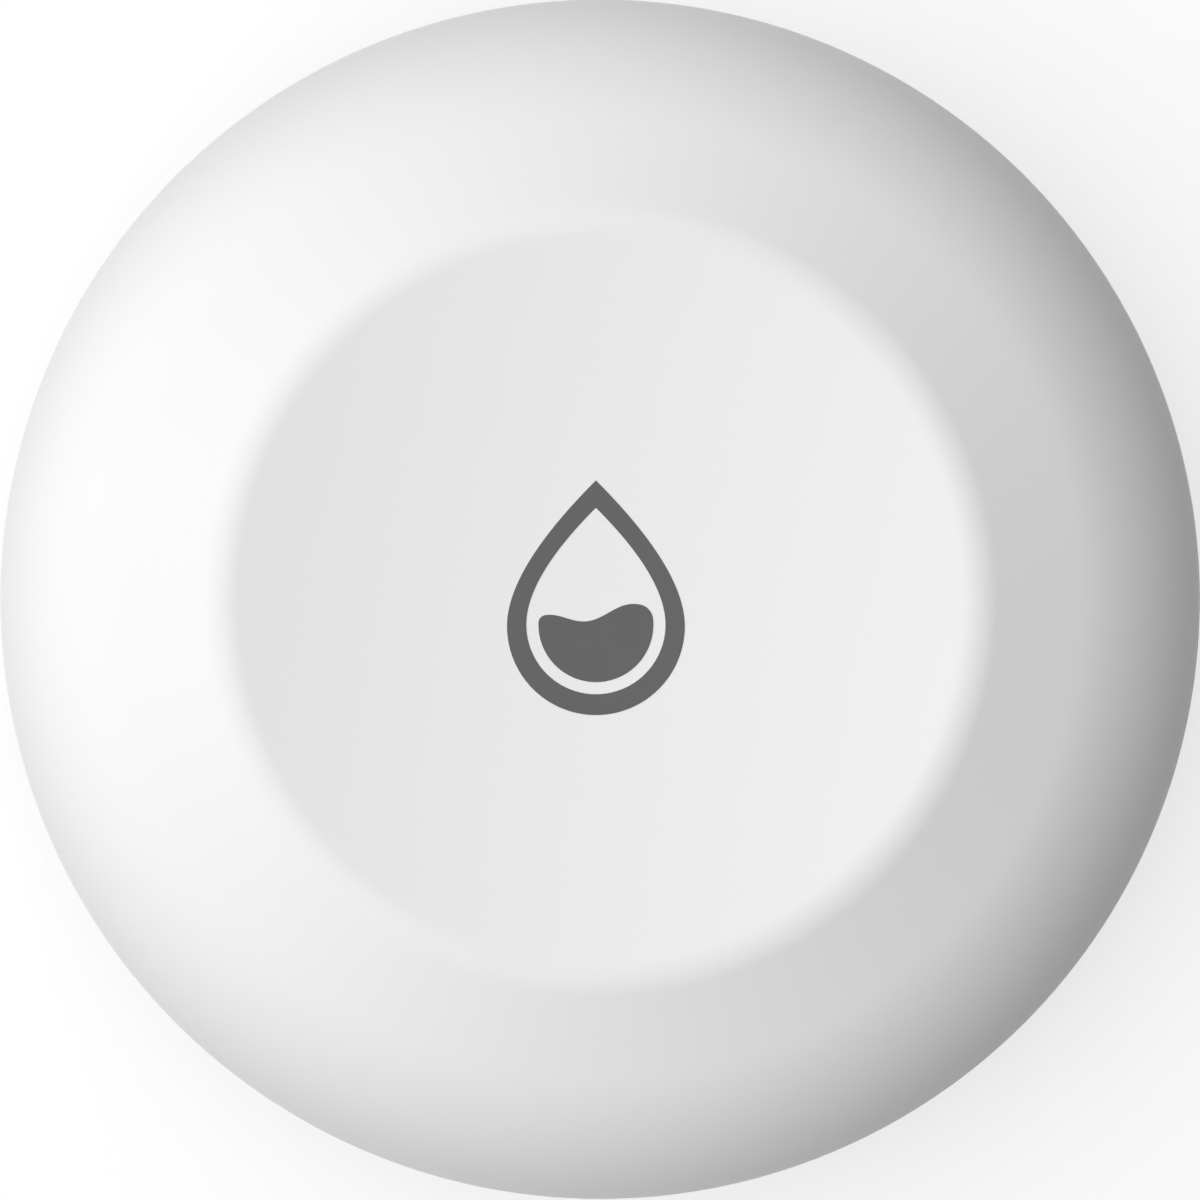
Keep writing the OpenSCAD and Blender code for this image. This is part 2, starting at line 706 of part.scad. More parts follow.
top_cover();
droplet_line();
droplet_water();
base_shell();
rim_gasket();
case_screws();
screw_seals();
rubber_feet();
probe_pair(0);  // probe_pins_right
probe_pair(90);  // probe_pins_rear
probe_pair(180);  // probe_pins_left
probe_pair(270);  // probe_pins_front
probe_seals();
probe_springs();
circuit_board();
board_screws();
cell_can();
cell_seal();
cell_cap();
cell_clip();
cell_contact();
radio_board();
radio_chip();
radio_crystal();
radio_shield();
radio_antenna();
amplifier_chip();
amplifier_leads();
capacitor_base();
capacitor_can();
power_inductor();
clock_crystal();
chip_capacitors();
chip_resistors();
indicator_lamp();
light_guide();
power_button();
button_seal();
switch_body();
switch_plate();
switch_plunger();
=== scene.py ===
"""Looks of a round water leak sensor: shells, seals, metal parts and board details on the CAD frame."""

import json
from math import asin, atan, atan2, cos, degrees, dist, hypot, pi, radians, sin, sqrt, tan

import bmesh
import bpy
from mathutils import Matrix, Vector


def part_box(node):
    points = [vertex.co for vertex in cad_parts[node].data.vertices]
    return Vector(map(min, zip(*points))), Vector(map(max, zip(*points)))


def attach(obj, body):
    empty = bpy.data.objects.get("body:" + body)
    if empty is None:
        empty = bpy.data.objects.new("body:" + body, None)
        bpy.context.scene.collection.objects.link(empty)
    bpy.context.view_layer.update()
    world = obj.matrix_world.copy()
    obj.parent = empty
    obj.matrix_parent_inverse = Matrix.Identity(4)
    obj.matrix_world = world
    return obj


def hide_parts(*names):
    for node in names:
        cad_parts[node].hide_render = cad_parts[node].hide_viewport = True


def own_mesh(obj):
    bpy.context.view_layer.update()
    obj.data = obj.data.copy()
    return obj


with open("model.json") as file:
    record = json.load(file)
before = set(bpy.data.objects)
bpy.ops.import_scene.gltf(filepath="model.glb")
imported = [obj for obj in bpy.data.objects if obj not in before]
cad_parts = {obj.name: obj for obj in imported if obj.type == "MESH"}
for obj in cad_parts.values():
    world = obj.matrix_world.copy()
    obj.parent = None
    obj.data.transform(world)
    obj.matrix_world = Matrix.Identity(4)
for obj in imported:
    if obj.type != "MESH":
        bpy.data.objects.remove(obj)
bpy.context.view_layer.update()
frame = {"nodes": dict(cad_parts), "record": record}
SLOTS = {part["node"]: part["material_slot"] for part in frame["record"]["subparts"]}

MM = 0.001


def cad_box_mm(node):
    """Lowest and highest corner of a CAD node, in millimetres."""
    low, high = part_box(node)
    return low / MM, high / MM


# Case: sizes in millimetres, as in the part's source, with heights above the floor
cover_low, cover_high = cad_box_mm("top_cover")
BODY_R = cover_high.x
BODY_H = cover_high.z
PART_Z = cover_low.z
WALL = 1.4
BELT_Z = 5.3
UNDERSIDE_Z = 0.8
FLOOR_Z = UNDERSIDE_Z + WALL
LOWER_R = BELT_Z - UNDERSIDE_Z
FLAT_R = BODY_R - LOWER_R
SKIRT_H = BELT_Z - PART_Z
SEAM_H = 0.3
SEAM_DEPTH = 0.4
FIT_GAP = 0.05
RIM_Z = PART_Z - FIT_GAP

# Dish, ridge, rim and shoulder of the cover
RIDGE_R = 17.2
RIDGE_ROUND = 2.8
DISH_DEPTH = 1.2
RIM_SLOPE = 26.5
DISH_SLOPE = 2 * degrees(atan(DISH_DEPTH / RIDGE_R))
DISH_R = RIDGE_R / sin(radians(DISH_SLOPE)) - RIDGE_ROUND
DISH_C = (0.0, BODY_H - DISH_DEPTH + DISH_R)
RIDGE_C = (RIDGE_R, BODY_H - RIDGE_ROUND)
RIM_SIN = sin(radians(RIM_SLOPE))
RIM_COS = cos(radians(RIM_SLOPE))
SHOULDER_R = (RIDGE_ROUND + RIM_COS * (RIDGE_C[1] - BELT_Z) - RIM_SIN * (BODY_R - RIDGE_R)) / (1 - RIM_SIN)
SHOULDER_C = (BODY_R - SHOULDER_R, BELT_Z)

# Droplet pictogram
DROP_R = 4.13
DROP_H = 10.9
DROP_TIP = DROP_H - DROP_R
DROP_LINE = 0.9
DROP_GAP = 0.56
DROP_X = -0.2
DROP_Y = -1.25
DROP_LIFT = 0.07
WAVE_LEVEL = 0.48
WAVE_TILT = 0.13
WAVE_HEIGHT = 0.27
WAVE_LENGTH = 3.9
WAVE_CREST = 1.56
WAVE_ROUND_LEFT = 0.37
WAVE_ROUND_RIGHT = 0.75
PRINT_PROUD = 0.012
PRINT_DEPTH = 0.12
POCKET_PROUD = 0.3

# Rings inside the case
SKIRT_IN_R = FLAT_R + sqrt((LOWER_R - WALL) ** 2 - SKIRT_H ** 2)
SKIRT_OUT_R = FLAT_R + sqrt(LOWER_R ** 2 - SKIRT_H ** 2)
RIM_R = SKIRT_OUT_R - SEAM_DEPTH
GASKET_R = (SKIRT_IN_R + RIM_R) / 2
GASKET_W = 0.7
GASKET_H = 0.9
LIP_GAP = 0.25
LIP_T = 1.0
LIP_H = 1.6
LIP_R = SKIRT_IN_R - LIP_GAP
LIP_TOP = PART_Z + LIP_H
CAVITY_R = LIP_R - LIP_T
BOARD_GAP = 0.5
BOARD_LIFT = 2.2
BOARD_T = 1.0
BOARD_R = CAVITY_R - BOARD_GAP
BOARD_Z = FLOOR_Z + BOARD_LIFT
BOARD_TOP = BOARD_Z + BOARD_T
RING_INSET = 3.0
RING_R = FLAT_R - RING_INSET

# Screws and feet
SCREW_ANGLES = (0, 90, 180, 270)
FOOT_ANGLES = (45, 135, 225, 315)
BOARD_SCREW_ANGLES = (135, 315)
SCREW_R = 1.0
SCREW_GRIP = 5.6
SCREW_SPARE = 0.6
SCREW_TOP = BOARD_Z + SCREW_GRIP
HEAD_R = 1.9
HEAD_H = 1.2
HEAD_GAP = 0.2
HEAD_RECESS = 0.15
SEAL_T = 0.4
BORE_R = HEAD_R + HEAD_GAP
SEAT_Z = UNDERSIDE_Z + HEAD_RECESS + HEAD_H + SEAL_T
HEAD_Z = SEAT_Z - SEAL_T
BOSS_WALL = 1.25
BOSS_R = SCREW_R + BOSS_WALL
BOSS_Z = BOARD_Z + FIT_GAP
BOSS_HOLE_TOP = SCREW_TOP + SCREW_SPARE
PILLAR_WALL = 0.95
PILLAR_R = BORE_R + PILLAR_WALL
POST_R = 2.0
BOARD_SCREW_R = 0.8
BOARD_HEAD_R = 1.6
BOARD_HEAD_H = 1.1
FOOT_R = 2.8
FOOT_SEAT = 0.4

# Probe pins, button and light guide
PIN_PITCH = 9.4
PIN_R = 0.75
PIN_HEAD_R = 1.6
PIN_PROUD = 0.55
PIN_EDGE = 0.1
PIN_COLLAR_R = 1.2
PIN_COLLAR_T = 0.4
PIN_TOP = FLOOR_Z + PIN_COLLAR_T
PIN_POCKET_W = 0.55
PIN_POCKET_R = PIN_R + PIN_POCKET_W
PIN_POCKET_H = 0.5
PIN_POCKET_TOP = UNDERSIDE_Z + PIN_POCKET_H
LABEL_R = 13.5
LABEL_DEPTH = 0.2
LABEL_Z = UNDERSIDE_Z + LABEL_DEPTH
KEY_R = 3.5
KEY_SEAL_W = 1.2
KEY_RECESS = 0.3
KEY_RISE = 0.1
KEY_HOLE_R = KEY_R + KEY_SEAL_W
KEY_Z = LABEL_Z + KEY_RECESS
KEY_TOP = FLOOR_Z + KEY_RISE
KEY_STEM_R = 1.2
KEY_STEM_TOP = 2.5
GUIDE_Y = 9.0
GUIDE_R = 1.0
GUIDE_FLANGE_R = 1.7
GUIDE_FLANGE_T = 0.5

# Cell and its clip
CONTACT_T = 0.3
CELL_R = 12.25
CELL_H = 7.7
CELL_STEP = 0.35
CELL_Z = BOARD_TOP + CONTACT_T + CELL_STEP
CELL_TOP = CELL_Z - CELL_STEP + CELL_H
CLIP_GAP = 0.1
CLIP_T = 0.3
CLIP_R = CELL_R + CLIP_GAP + CLIP_T
CLIP_W = 13.0
CLIP_TOP = CELL_TOP + CLIP_T
CLIP_TAB_W = 4.0
CLIP_TAB_L = 1.7
ANNULUS_R = (CLIP_R + BOARD_R) / 2

# Board components, and their places as (angle, distance along the ring)
RADIO_L = 8.0
RADIO_W = 11.5
RADIO_T = 0.8
RADIO_CORNER = 0.15
RADIO_EDGE = 0.04
SHIELD_INSET = 0.8
SHIELD_L = RADIO_L - SHIELD_INSET
SHIELD_W = 7.6
SHIELD_H = 1.7
SHIELD_T = 0.2
ANTENNA_SIDE = (RADIO_W - SHIELD_W) / 2
AMP_L = 4.9
AMP_W = 3.9
AMP_H = 1.4
LEAD_T = 0.15
CAN_R = 2.5
CAN_BASE_W = 5.3
CAN_BASE_H = 0.9
CAN_H = 4.3
CAN_TOP = CAN_BASE_H + CAN_H
COIL_W = 4.0
COIL_H = 1.9
CRYSTAL_L = 5.0
CRYSTAL_W = 3.2
CRYSTAL_H = 1.1
CHIP_L = 1.6
CHIP_W = 0.8
CHIP_PITCH = 2 * CHIP_W
CHIP_ROWS = (-1, 0, 1)
RESISTOR_H = CHIP_W / 2
CAP_END = 0.32
TRACK_W = 0.28
TRACK_T = 0.035
VIA_R = 0.32
LAND_W = 0.45
PLATE_T = 1.4 * TRACK_T
SIDE_SHIFT = 6.2
CAN_SHIFT = -3.2
RADIO_AT = (45, 0.0)
AMP_AT = (135, SIDE_SHIFT)
CAN_AT = (225, CAN_SHIFT)
COIL_AT = (225, -CAN_SHIFT)
CRYSTAL_AT = (315, SIDE_SHIFT)

# Fineness of the meshes, and how far cutters reach past a surface
FINE = 240
MEDIUM = 64
COARSE = 32
TINY = 20
SHARP_EDGE = 30
SAME_POINT = 1e-4
NEAR = 1e-5
CUT_LEAD = 0.4
CUT_PAST = 0.5


# Outlines, and solids as (points, faces), in millimetres

def arc(center, radius, start, stop, steps):
    """Points of an arc between two angles in degrees, with both ends."""
    turns = [radians(start + (stop - start) * i / steps) for i in range(steps + 1)]
    return [(center[0] + radius * cos(t), center[1] + radius * sin(t)) for t in turns]


def rounded(corners, steps=4):
    """Closed outline through corners of (x, y, rounding)."""
    points = []
    for i, (x, y, radius) in enumerate(corners):
        if radius <= 0:
            points.append((x, y))
            continue
        here = Vector((x, y))
        back = (Vector(corners[i - 1][:2]) - here).normalized()
        ahead = (Vector(corners[(i + 1) % len(corners)][:2]) - here).normalized()
        half = back.angle(ahead) / 2
        center = here + (back + ahead).normalized() * (radius / sin(half))
        first = here + back * (radius / tan(half)) - center
        last = here + ahead * (radius / tan(half)) - center
        start = atan2(first.y, first.x)
        sweep = (atan2(last.y, last.x) - start + pi) % (2 * pi) - pi
        points += arc(center, radius, degrees(start), degrees(start + sweep), steps)
    return points


def rectangle(length, width, corner, steps=4):
    """Rounded rectangle around the origin."""
    x, y = length / 2, width / 2
    return rounded([(x, -y, corner), (x, y, corner), (-x, y, corner), (-x, -y, corner)], steps)


def shifted(path, distance, closed=True):
    """Path moved to its left by a distance, with mitred corners."""
    spots = [Vector(p) for p in path]
    ways = [(after - here).normalized() for here, after in zip(spots, spots[1:] + spots[:1])]
    if not closed:
        ways[-1] = ways[-2]
    points = []
    for i, (x, y) in enumerate(path):
        way = ways[i] + ways[i - 1 if closed or i else i]
        scale = 2 * distance / way.length_squared
        points.append((x - way.y * scale, y + way.x * scale))
    return points


def ribbon(path, width):
    """Outline of a strip along an open path."""
    return shifted(path, -width / 2, False) + shifted(path, width / 2, False)[::-1]


def woven(rings):
    """Faces between rings of point numbers, each joined to the next, without repeated corners."""
    faces = []
    for here, there in zip(rings, rings[1:]):
        for i, first in enumerate(here):
            j = (i + 1) % len(here)
            corners = [first, here[j], there[j], there[i]]
            face = tuple(c for k, c in enumerate(corners) if c != corners[k - 1])
            if len(face) > 2:
                faces.append(face)
    return faces


def stacked(rings, closed=False):
    """Solid through rings of points, with a face on each end or closed into a band."""
    count = len(rings[0])
    numbers = [tuple(range(i * count, (i + 1) * count)) for i in range(len(rings))]
    faces = woven(numbers + numbers[:1]) if closed else woven(numbers) + [numbers[0][::-1], numbers[-1]]
    return [p for ring in rings for p in ring], faces


def flat(outline, z):
    """Outline at a height."""
    return [(x, y, z) for x, y in outline]


def slab(outline, low, high, edge=0.0):
    """Plate from a counter-clockwise outline, with rounded rims."""
    steps = 3
    levels = [(low, 0.0), (high, 0.0)]
    if edge > 0:
        curve = arc((edge, edge), edge, 180, 270, steps)
        levels = [(low + rise, cut) for rise, cut in curve]
        levels += [(high - rise, cut) for rise, cut in reversed(curve)]
    return stacked([flat(shifted(outline, cut) if cut else outline, z) for z, cut in levels])


def brick(length, width, low, high, corner, edge):
    """Block with rounded corners and rims."""
    return slab(rectangle(length, width, corner), low, high, edge)


def lathe(profile, segments=MEDIUM):
    """Solid of revolution from a closed profile of (radius, height)."""
    profile = [p for p, before in zip(profile, profile[-1:] + profile[:-1]) if dist(p, before) > NEAR]
    turns = [2 * pi * i / segments for i in range(segments)]
    points, rings = [], []
    for radius, height in profile:
        start, count = len(points), segments if radius > NEAR else 1
        points += [(radius * cos(t), radius * sin(t), height) for t in turns[:count]]
        rings.append([start + i % count for i in range(segments)])
    return points, woven(rings + rings[:1])


def spun(corners, segments=MEDIUM, steps=4):
    """Solid of revolution from corners of (radius, height, rounding)."""
    return lathe(rounded(corners, steps), segments)


def band(in_r, out_r, low, high, below, above, segments=MEDIUM, steps=4):
    """Ring with a rectangular section, its rims rounded below and above."""
    corners = [(in_r, low, below), (out_r, low, below), (out_r, high, above), (in_r, high, above)]
    return spun(corners, segments, steps)


def thread(radius, depth, pitch, low, high, point):
    """Screw shank with a helical thread and a pointed end at the top."""
    per_turn, tip, flank = 10, 0.35, 0.75
    levels = int((high - low) / pitch * per_turn)
    rings = []
    for level in range(levels + 1):
        z = low + (high - low) * level / levels
        taper = min(1.0, tip + (1 - tip) * (high - z) / point)
        ring = []
        for i in range(COARSE):
            phase = (z / pitch - i / COARSE) % 1.0
            crest = max(0.0, 1 - abs(phase - 0.5) * 2 / flank)
            r = (radius - depth + depth * crest) * taper
            turn = 2 * pi * i / COARSE
            ring.append((r * cos(turn), r * sin(turn), z))
        rings.append(ring)
    return stacked(rings)


def drill(lead, low, *steps):
    """Cutter for a round hole from below, with a chamfered mouth and steps of (radius, top)."""
    start, mouth = low - CUT_LEAD, steps[0][0]
    profile = [(0, start), (mouth + lead + CUT_LEAD, start), (mouth, low + lead)]
    for radius, top in steps:
        profile += [(radius, profile[-1][1]), (radius, top)]
    return lathe(profile + [(0, top)])


def moved(shape, matrix):
    """Shape in another place."""
    return [tuple(matrix @ Vector(p)) for p in shape[0]], shape[1]


def merged(*shapes):
    """Several shapes as one."""
    points, faces = [], []
    for more, parts in shapes:
        start = len(points)
        points += more
        faces += [tuple(start + i for i in face) for face in parts]
    return points, faces


def at(x=0.0, y=0.0, z=0.0):
    """Move to a place."""
    return Matrix.Translation((x, y, z))


def turned(angle, axis="Z"):
    """Turn by an angle in degrees."""
    return Matrix.Rotation(radians(angle), 4, axis)


def around(shape, angles, along=0.0):
    """Copies of a shape on the ring of screws and feet."""
    return merged(*[moved(shape, turned(a) @ at(RING_R, along)) for a in angles])


def at_pins(shape, angles=SCREW_ANGLES):
    """Copies of a shape at the probe pins."""
    return merged(*[around(shape, angles, side * PIN_PITCH / 2) for side in (-1, 1)])


def paired(shape):
    """Shape with its copy on the opposite side."""
    return merged(shape, moved(shape, turned(180)))


def in_row(shape, count, pitch):
    """Copies of a shape in a row along Y."""
    return merged(*[moved(shape, at(0, (i - (count - 1) / 2) * pitch)) for i in range(count)])


def in_corners(shape, x, y):
    """Copies of a shape in the four corners of a rectangle."""
    return [moved(shape, at(side_x * x, side_y * y)) for side_x in (-1, 1) for side_y in (-1, 1)]


def on_board(shape, angle, along=0.0, out=0.0):
    """Shape on the free ring of the board, with its X outwards."""
    return moved(shape, turned(angle) @ at(ANNULUS_R + out, along, BOARD_TOP))


def set_up(thing, **settings):
    """Thing with its settings."""
    for name, value in settings.items():
        setattr(thing, name, value)
    return thing


def in_scene(name, data):
    """New object in the scene."""
    obj = bpy.data.objects.new(name, data)
    bpy.context.scene.collection.objects.link(obj)
    return obj


def raw_object(name, shape, scale=1.0):
    """Mesh object of a shape, with its faces turned outwards."""
    mesh = bpy.data.meshes.new(name)
    mesh.from_pydata([Vector(p) * scale for p in shape[0]], [], shape[1])
    shell = bmesh.new()
    shell.from_mesh(mesh)
    bmesh.ops.recalc_face_normals(shell, faces=shell.faces)
    shell.to_mesh(mesh)
    shell.free()
    return in_scene(name, mesh)


def combined(shape, tool, operation):
    """Shape after a boolean with a tool shape."""
    body, cutter = raw_object("work_body", shape), raw_object("work_tool", tool)
    set_up(body.modifiers.new("combine", "BOOLEAN"), operation=operation, solver="EXACT", object=cutter)
    bpy.context.view_layer.update()
    shell = bmesh.new()
    shell.from_mesh(body.evaluated_get(bpy.context.evaluated_depsgraph_get()).to_mesh())
    bmesh.ops.remove_doubles(shell, verts=shell.verts, dist=SAME_POINT)
    bmesh.ops.dissolve_degenerate(shell, edges=shell.edges, dist=SAME_POINT)
    shell.verts.index_update()
    result = [tuple(v.co) for v in shell.verts], [tuple(v.index for v in f.verts) for f in shell.faces]
    shell.free()
    for obj in (body, cutter):
        mesh = obj.data
        bpy.data.objects.remove(obj)
        bpy.data.meshes.remove(mesh)
    return result


def piece(name, shape, node=None, body="base", slot=None, material=None):
    """Finished piece on its body, with the material of the slot of the CAD node it stands in for, or of a
    slot or material of its own; that CAD node is hidden.
    """
    slot = slot or SLOTS.get(node)
    obj = raw_object(name, shape, MM)
    obj.data.shade_smooth()
    obj.data.set_sharp_from_angle(angle=radians(SHARP_EDGE))
    obj.data.materials.append(MATERIALS[material or slot])
    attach(obj, body)
    if node:
        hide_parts(node)
    return obj


# Materials

# Length of one wave of the wave texture at a scale of one
WAVE_TURN = 2 * pi / 20
NOISE_RANGE = (0.3, 0.7)
GLOSS_SWING = 0.1
FINE_DETAIL = 3.0
EVEN = (1, 1, 1)
BRUSHED = (1, 0.06, 1)


def fill(tree, node, inputs):
    """Inputs of a node, each set to a value or linked to another node's output."""
    for key, value in inputs.items():
        if isinstance(value, bpy.types.NodeSocket):
            tree.links.new(value, node.inputs[key])
        else:
            node.inputs[key].default_value = value


def output(tree, kind, socket, inputs=None, **settings):
    """Output of a new shader node with its inputs and settings."""
    node = set_up(tree.nodes.new("ShaderNode" + kind), **settings)
    fill(tree, node, inputs or {})
    return node.outputs[socket]


def new_material(name, constants):
    """Node material with constants on its shader, its tree and the object's coordinates."""
    material = bpy.data.materials.new(name)
    material.use_nodes = True
    tree = material.node_tree
    fill(tree, tree.nodes["Principled BSDF"], constants)
    return material, tree, output(tree, "TexCoord", "Object")


def noise(tree, place, size, detail=2.0, stretch=EVEN):
    """Noise with features of a size in millimetres."""
    spread = output(tree, "Mapping", "Vector", {"Vector": place, "Scale": stretch})
    scale = 1 / (size * MM)
    return output(tree, "TexNoise", "Fac", {"Vector": spread, "Scale": scale, "Detail": detail})


def two_tone(tree, amount, color, swing):
    """Colour that varies by a share around a middle value."""
    dark = [c * (1 - swing) for c in color]
    light = [min(1.0, c * (1 + swing)) for c in color]
    tones = {"Factor": amount, "A": (*dark, 1), "B": (*light, 1)}
    return output(tree, "Mix", "Result", tones, data_type="RGBA")


def ranged(tree, amount, low, high):
    """Noise mapped to a range of values."""
    limits = {"From Min": NOISE_RANGE[0], "From Max": NOISE_RANGE[1], "To Min": low, "To Max": high}
    return output(tree, "MapRange", "Result", {"Value": amount, **limits})


def dressed(material, color, roughness, height, relief):
    """Material with its colour, roughness and fine relief, each from a node's output."""
    tree = material.node_tree
    bump = output(tree, "Bump", "Normal", {"Distance": relief * MM, "Height": height})
    shader = tree.nodes["Principled BSDF"]
    fill(tree, shader, {"Base Color": color, "Roughness": roughness, "Normal": bump})
    return material


def finish(name, color, roughness, swing, blotch, grain, relief, specular=0.5, coat=0.0, metallic=0.0,
           stretch=EVEN):
    """Material whose colour, gloss and surface vary a little."""
    constants = {"Metallic": metallic, "Specular IOR Level": specular, "Coat Weight": coat}
    material, tree, place = new_material(name, constants)
    shade = two_tone(tree, noise(tree, place, blotch), color, swing)
    fine = noise(tree, place, grain, FINE_DETAIL, stretch)
    gloss = ranged(tree, fine, roughness * (1 - GLOSS_SWING), min(1.0, roughness * (1 + GLOSS_SWING)))
    return dressed(material, shade, gloss, fine, relief)


def turned_metal(name, color, roughness):
    """Metal with fine rings around Z, as left by turning."""
    pitch, relief, blotch, swing = 0.12, 0.003, 4.0, 0.05
    material, tree, place = new_material(name, {"Metallic": 1.0})
    waves = {"Vector": place, "Scale": WAVE_TURN / (pitch * MM), "Distortion": 1.5, "Detail": FINE_DETAIL}
    rings = output(tree, "TexWave", "Fac", waves, wave_type="RINGS", rings_direction="Z")
    shade = two_tone(tree, noise(tree, place, blotch), color, swing)
    gloss = ranged(tree, rings, roughness * (1 - 2 * GLOSS_SWING), roughness * (1 + 2 * GLOSS_SWING))
    return dressed(material, shade, gloss, rings, relief)


def laminate(name, color, swing):
    """Solder mask with a fine grid of glass cloth in it."""
    weave, relief, blotch, low, high = 0.5, 0.004, 0.8, 0.32, 0.42
    material, tree, place = new_material(name, {"Coat Weight": 0.15})
    waves = {"Vector": place, "Scale": WAVE_TURN / (weave * MM), "Distortion": 0.6}
    across, along = [output(tree, "TexWave", "Fac", waves, bands_direction=axis) for axis in ("X", "Y")]
    grid = output(tree, "Math", "Value", {0: across, 1: along}, operation="ADD")
    cloth = output(tree, "Math", "Value", {0: grid, 1: 0.5}, operation="MULTIPLY")
    gloss = ranged(tree, noise(tree, place, blotch), low, high)
    return dressed(material, two_tone(tree, cloth, color, swing), gloss, cloth, relief)


def clear_plastic(name, color):
    """Clear moulded plastic with faint flow lines."""
    size, stretch, swing, low, high, relief = 0.6, (1, 1, 0.2), 0.03, 0.12, 0.2, 0.004
    material, tree, place = new_material(name, {"Transmission Weight": 0.85, "IOR": 1.49})
    flow = noise(tree, place, size, stretch=stretch)
    return dressed(material, two_tone(tree, flow, color, swing), ranged(tree, flow, low, high), flow, relief)


# Colour, roughness, swing of the colour, size of its blotches, and size, relief and stretch of the grain
METALS = {
    "screw_steel": ((0.56, 0.56, 0.55), 0.3, 0.06, 0.8, 0.06, 0.004, EVEN),
    "clip_steel": ((0.53, 0.53, 0.52), 0.34, 0.05, 3.0, 0.12, 0.005, BRUSHED),
    "tin_plate": ((0.58, 0.575, 0.56), 0.4, 0.06, 1.2, 0.09, 0.004, EVEN),
    "probe_gold": ((0.78, 0.53, 0.21), 0.28, 0.05, 0.8, 0.07, 0.002, EVEN),
    "antenna_gold": ((0.85, 0.62, 0.28), 0.3, 0.06, 0.6, 0.06, 0.004, EVEN),
    "spring_bronze": ((0.7, 0.5, 0.3), 0.3, 0.06, 1.0, 0.1, 0.004, BRUSHED),
}
# The same without the stretch, then the specular level and the clear coat where they aren't the usual ones
PLASTICS = {
    "cover_plastic": ((0.81, 0.81, 0.81), 0.7, 0.004, 9.0, 0.12, 0.0006, 0.1),
    "pictogram_plastic": ((0.114, 0.114, 0.115), 0.7, 0.03, 1.5, 0.08, 0.0008, 0.2),
    "base_plastic": ((0.78, 0.78, 0.78), 0.65, 0.012, 6.0, 0.12, 0.0025, 0.2),
    "button_plastic": ((0.7, 0.7, 0.7), 0.55, 0.015, 3.0, 0.1, 0.003, 0.35),
    "plunger_plastic": ((0.05, 0.05, 0.05), 0.5, 0.15, 0.5, 0.06, 0.004),
    "chip_plastic": ((0.035, 0.035, 0.037), 0.55, 0.15, 0.6, 0.05, 0.006),
    "seal_rubber": ((0.05, 0.05, 0.052), 0.75, 0.12, 2.0, 0.1, 0.006, 0.3),
    "foot_rubber": ((0.2, 0.2, 0.205), 0.8, 0.1, 1.2, 0.1, 0.008, 0.3),
    "button_rubber": ((0.32, 0.32, 0.325), 0.75, 0.05, 1.0, 0.08, 0.006, 0.3),
    "ferrite": ((0.06, 0.058, 0.056), 0.7, 0.2, 0.5, 0.06, 0.012),
    "chip_ceramic": ((0.45, 0.32, 0.2), 0.5, 0.08, 0.4, 0.05, 0.004),
    "resistor_glaze": ((0.03, 0.03, 0.032), 0.3, 0.15, 0.4, 0.05, 0.004, 0.5, 0.3),
    "lamp_resin": ((0.75, 0.73, 0.6), 0.3, 0.04, 0.5, 0.06, 0.004),
    "board_ink": ((0.8, 0.8, 0.78), 0.6, 0.05, 0.4, 0.06, 0.003),
}
# Colour, and swing of the colour
LAMINATES = {
    "board_laminate": ((0.015, 0.13, 0.055), 0.12),
    "radio_laminate": ((0.01, 0.085, 0.06), 0.12),
    "mask_over_copper": ((0.03, 0.22, 0.09), 0.08),
}
MATERIALS = {name: finish(name, *look) for name, look in PLASTICS.items()}
for name, (*look, stretch) in METALS.items():
    MATERIALS[name] = finish(name, *look, metallic=1.0, stretch=stretch)
for name, look in LAMINATES.items():
    MATERIALS[name] = laminate(name, *look)
MATERIALS["cell_steel"] = turned_metal("cell_steel", (0.6, 0.595, 0.58), 0.32)
MATERIALS["capacitor_aluminium"] = turned_metal("capacitor_aluminium", (0.66, 0.66, 0.67), 0.38)
MATERIALS["guide_clear"] = clear_plastic("guide_clear", (0.9, 0.93, 0.93))


# Case

def cover_line(t, fine):
    """Outline of the cover from the middle to the skirt, inset by t."""
    skirt_turn = degrees(asin(SKIRT_H / (LOWER_R - t)))
    return (arc(DISH_C, DISH_R + t, -90, DISH_SLOPE - 90, 2 * fine)
            + arc(RIDGE_C, RIDGE_ROUND - t, 90 + DISH_SLOPE, 90 - RIM_SLOPE, 2 * fine)
            + arc(SHOULDER_C, SHOULDER_R - t, 90 - RIM_SLOPE, 0, 3 * fine)
            + arc((FLAT_R, BELT_Z), LOWER_R - t, 0, -skirt_turn, fine)[1:])


def cover_top(radius):
    """Height of the cover's outside at a radius beyond the ridge."""
    if radius < RIDGE_R + RIDGE_ROUND * RIM_SIN:
        return RIDGE_C[1] + sqrt(RIDGE_ROUND ** 2 - (radius - RIDGE_R) ** 2)
    if radius < SHOULDER_C[0] + SHOULDER_R * RIM_SIN:
        fall = (radius - RIDGE_R - RIDGE_ROUND * RIM_SIN) * RIM_SIN / RIM_COS
        return RIDGE_C[1] + RIDGE_ROUND * RIM_COS - fall
    return BELT_Z + sqrt(SHOULDER_R ** 2 - (radius - SHOULDER_C[0]) ** 2)


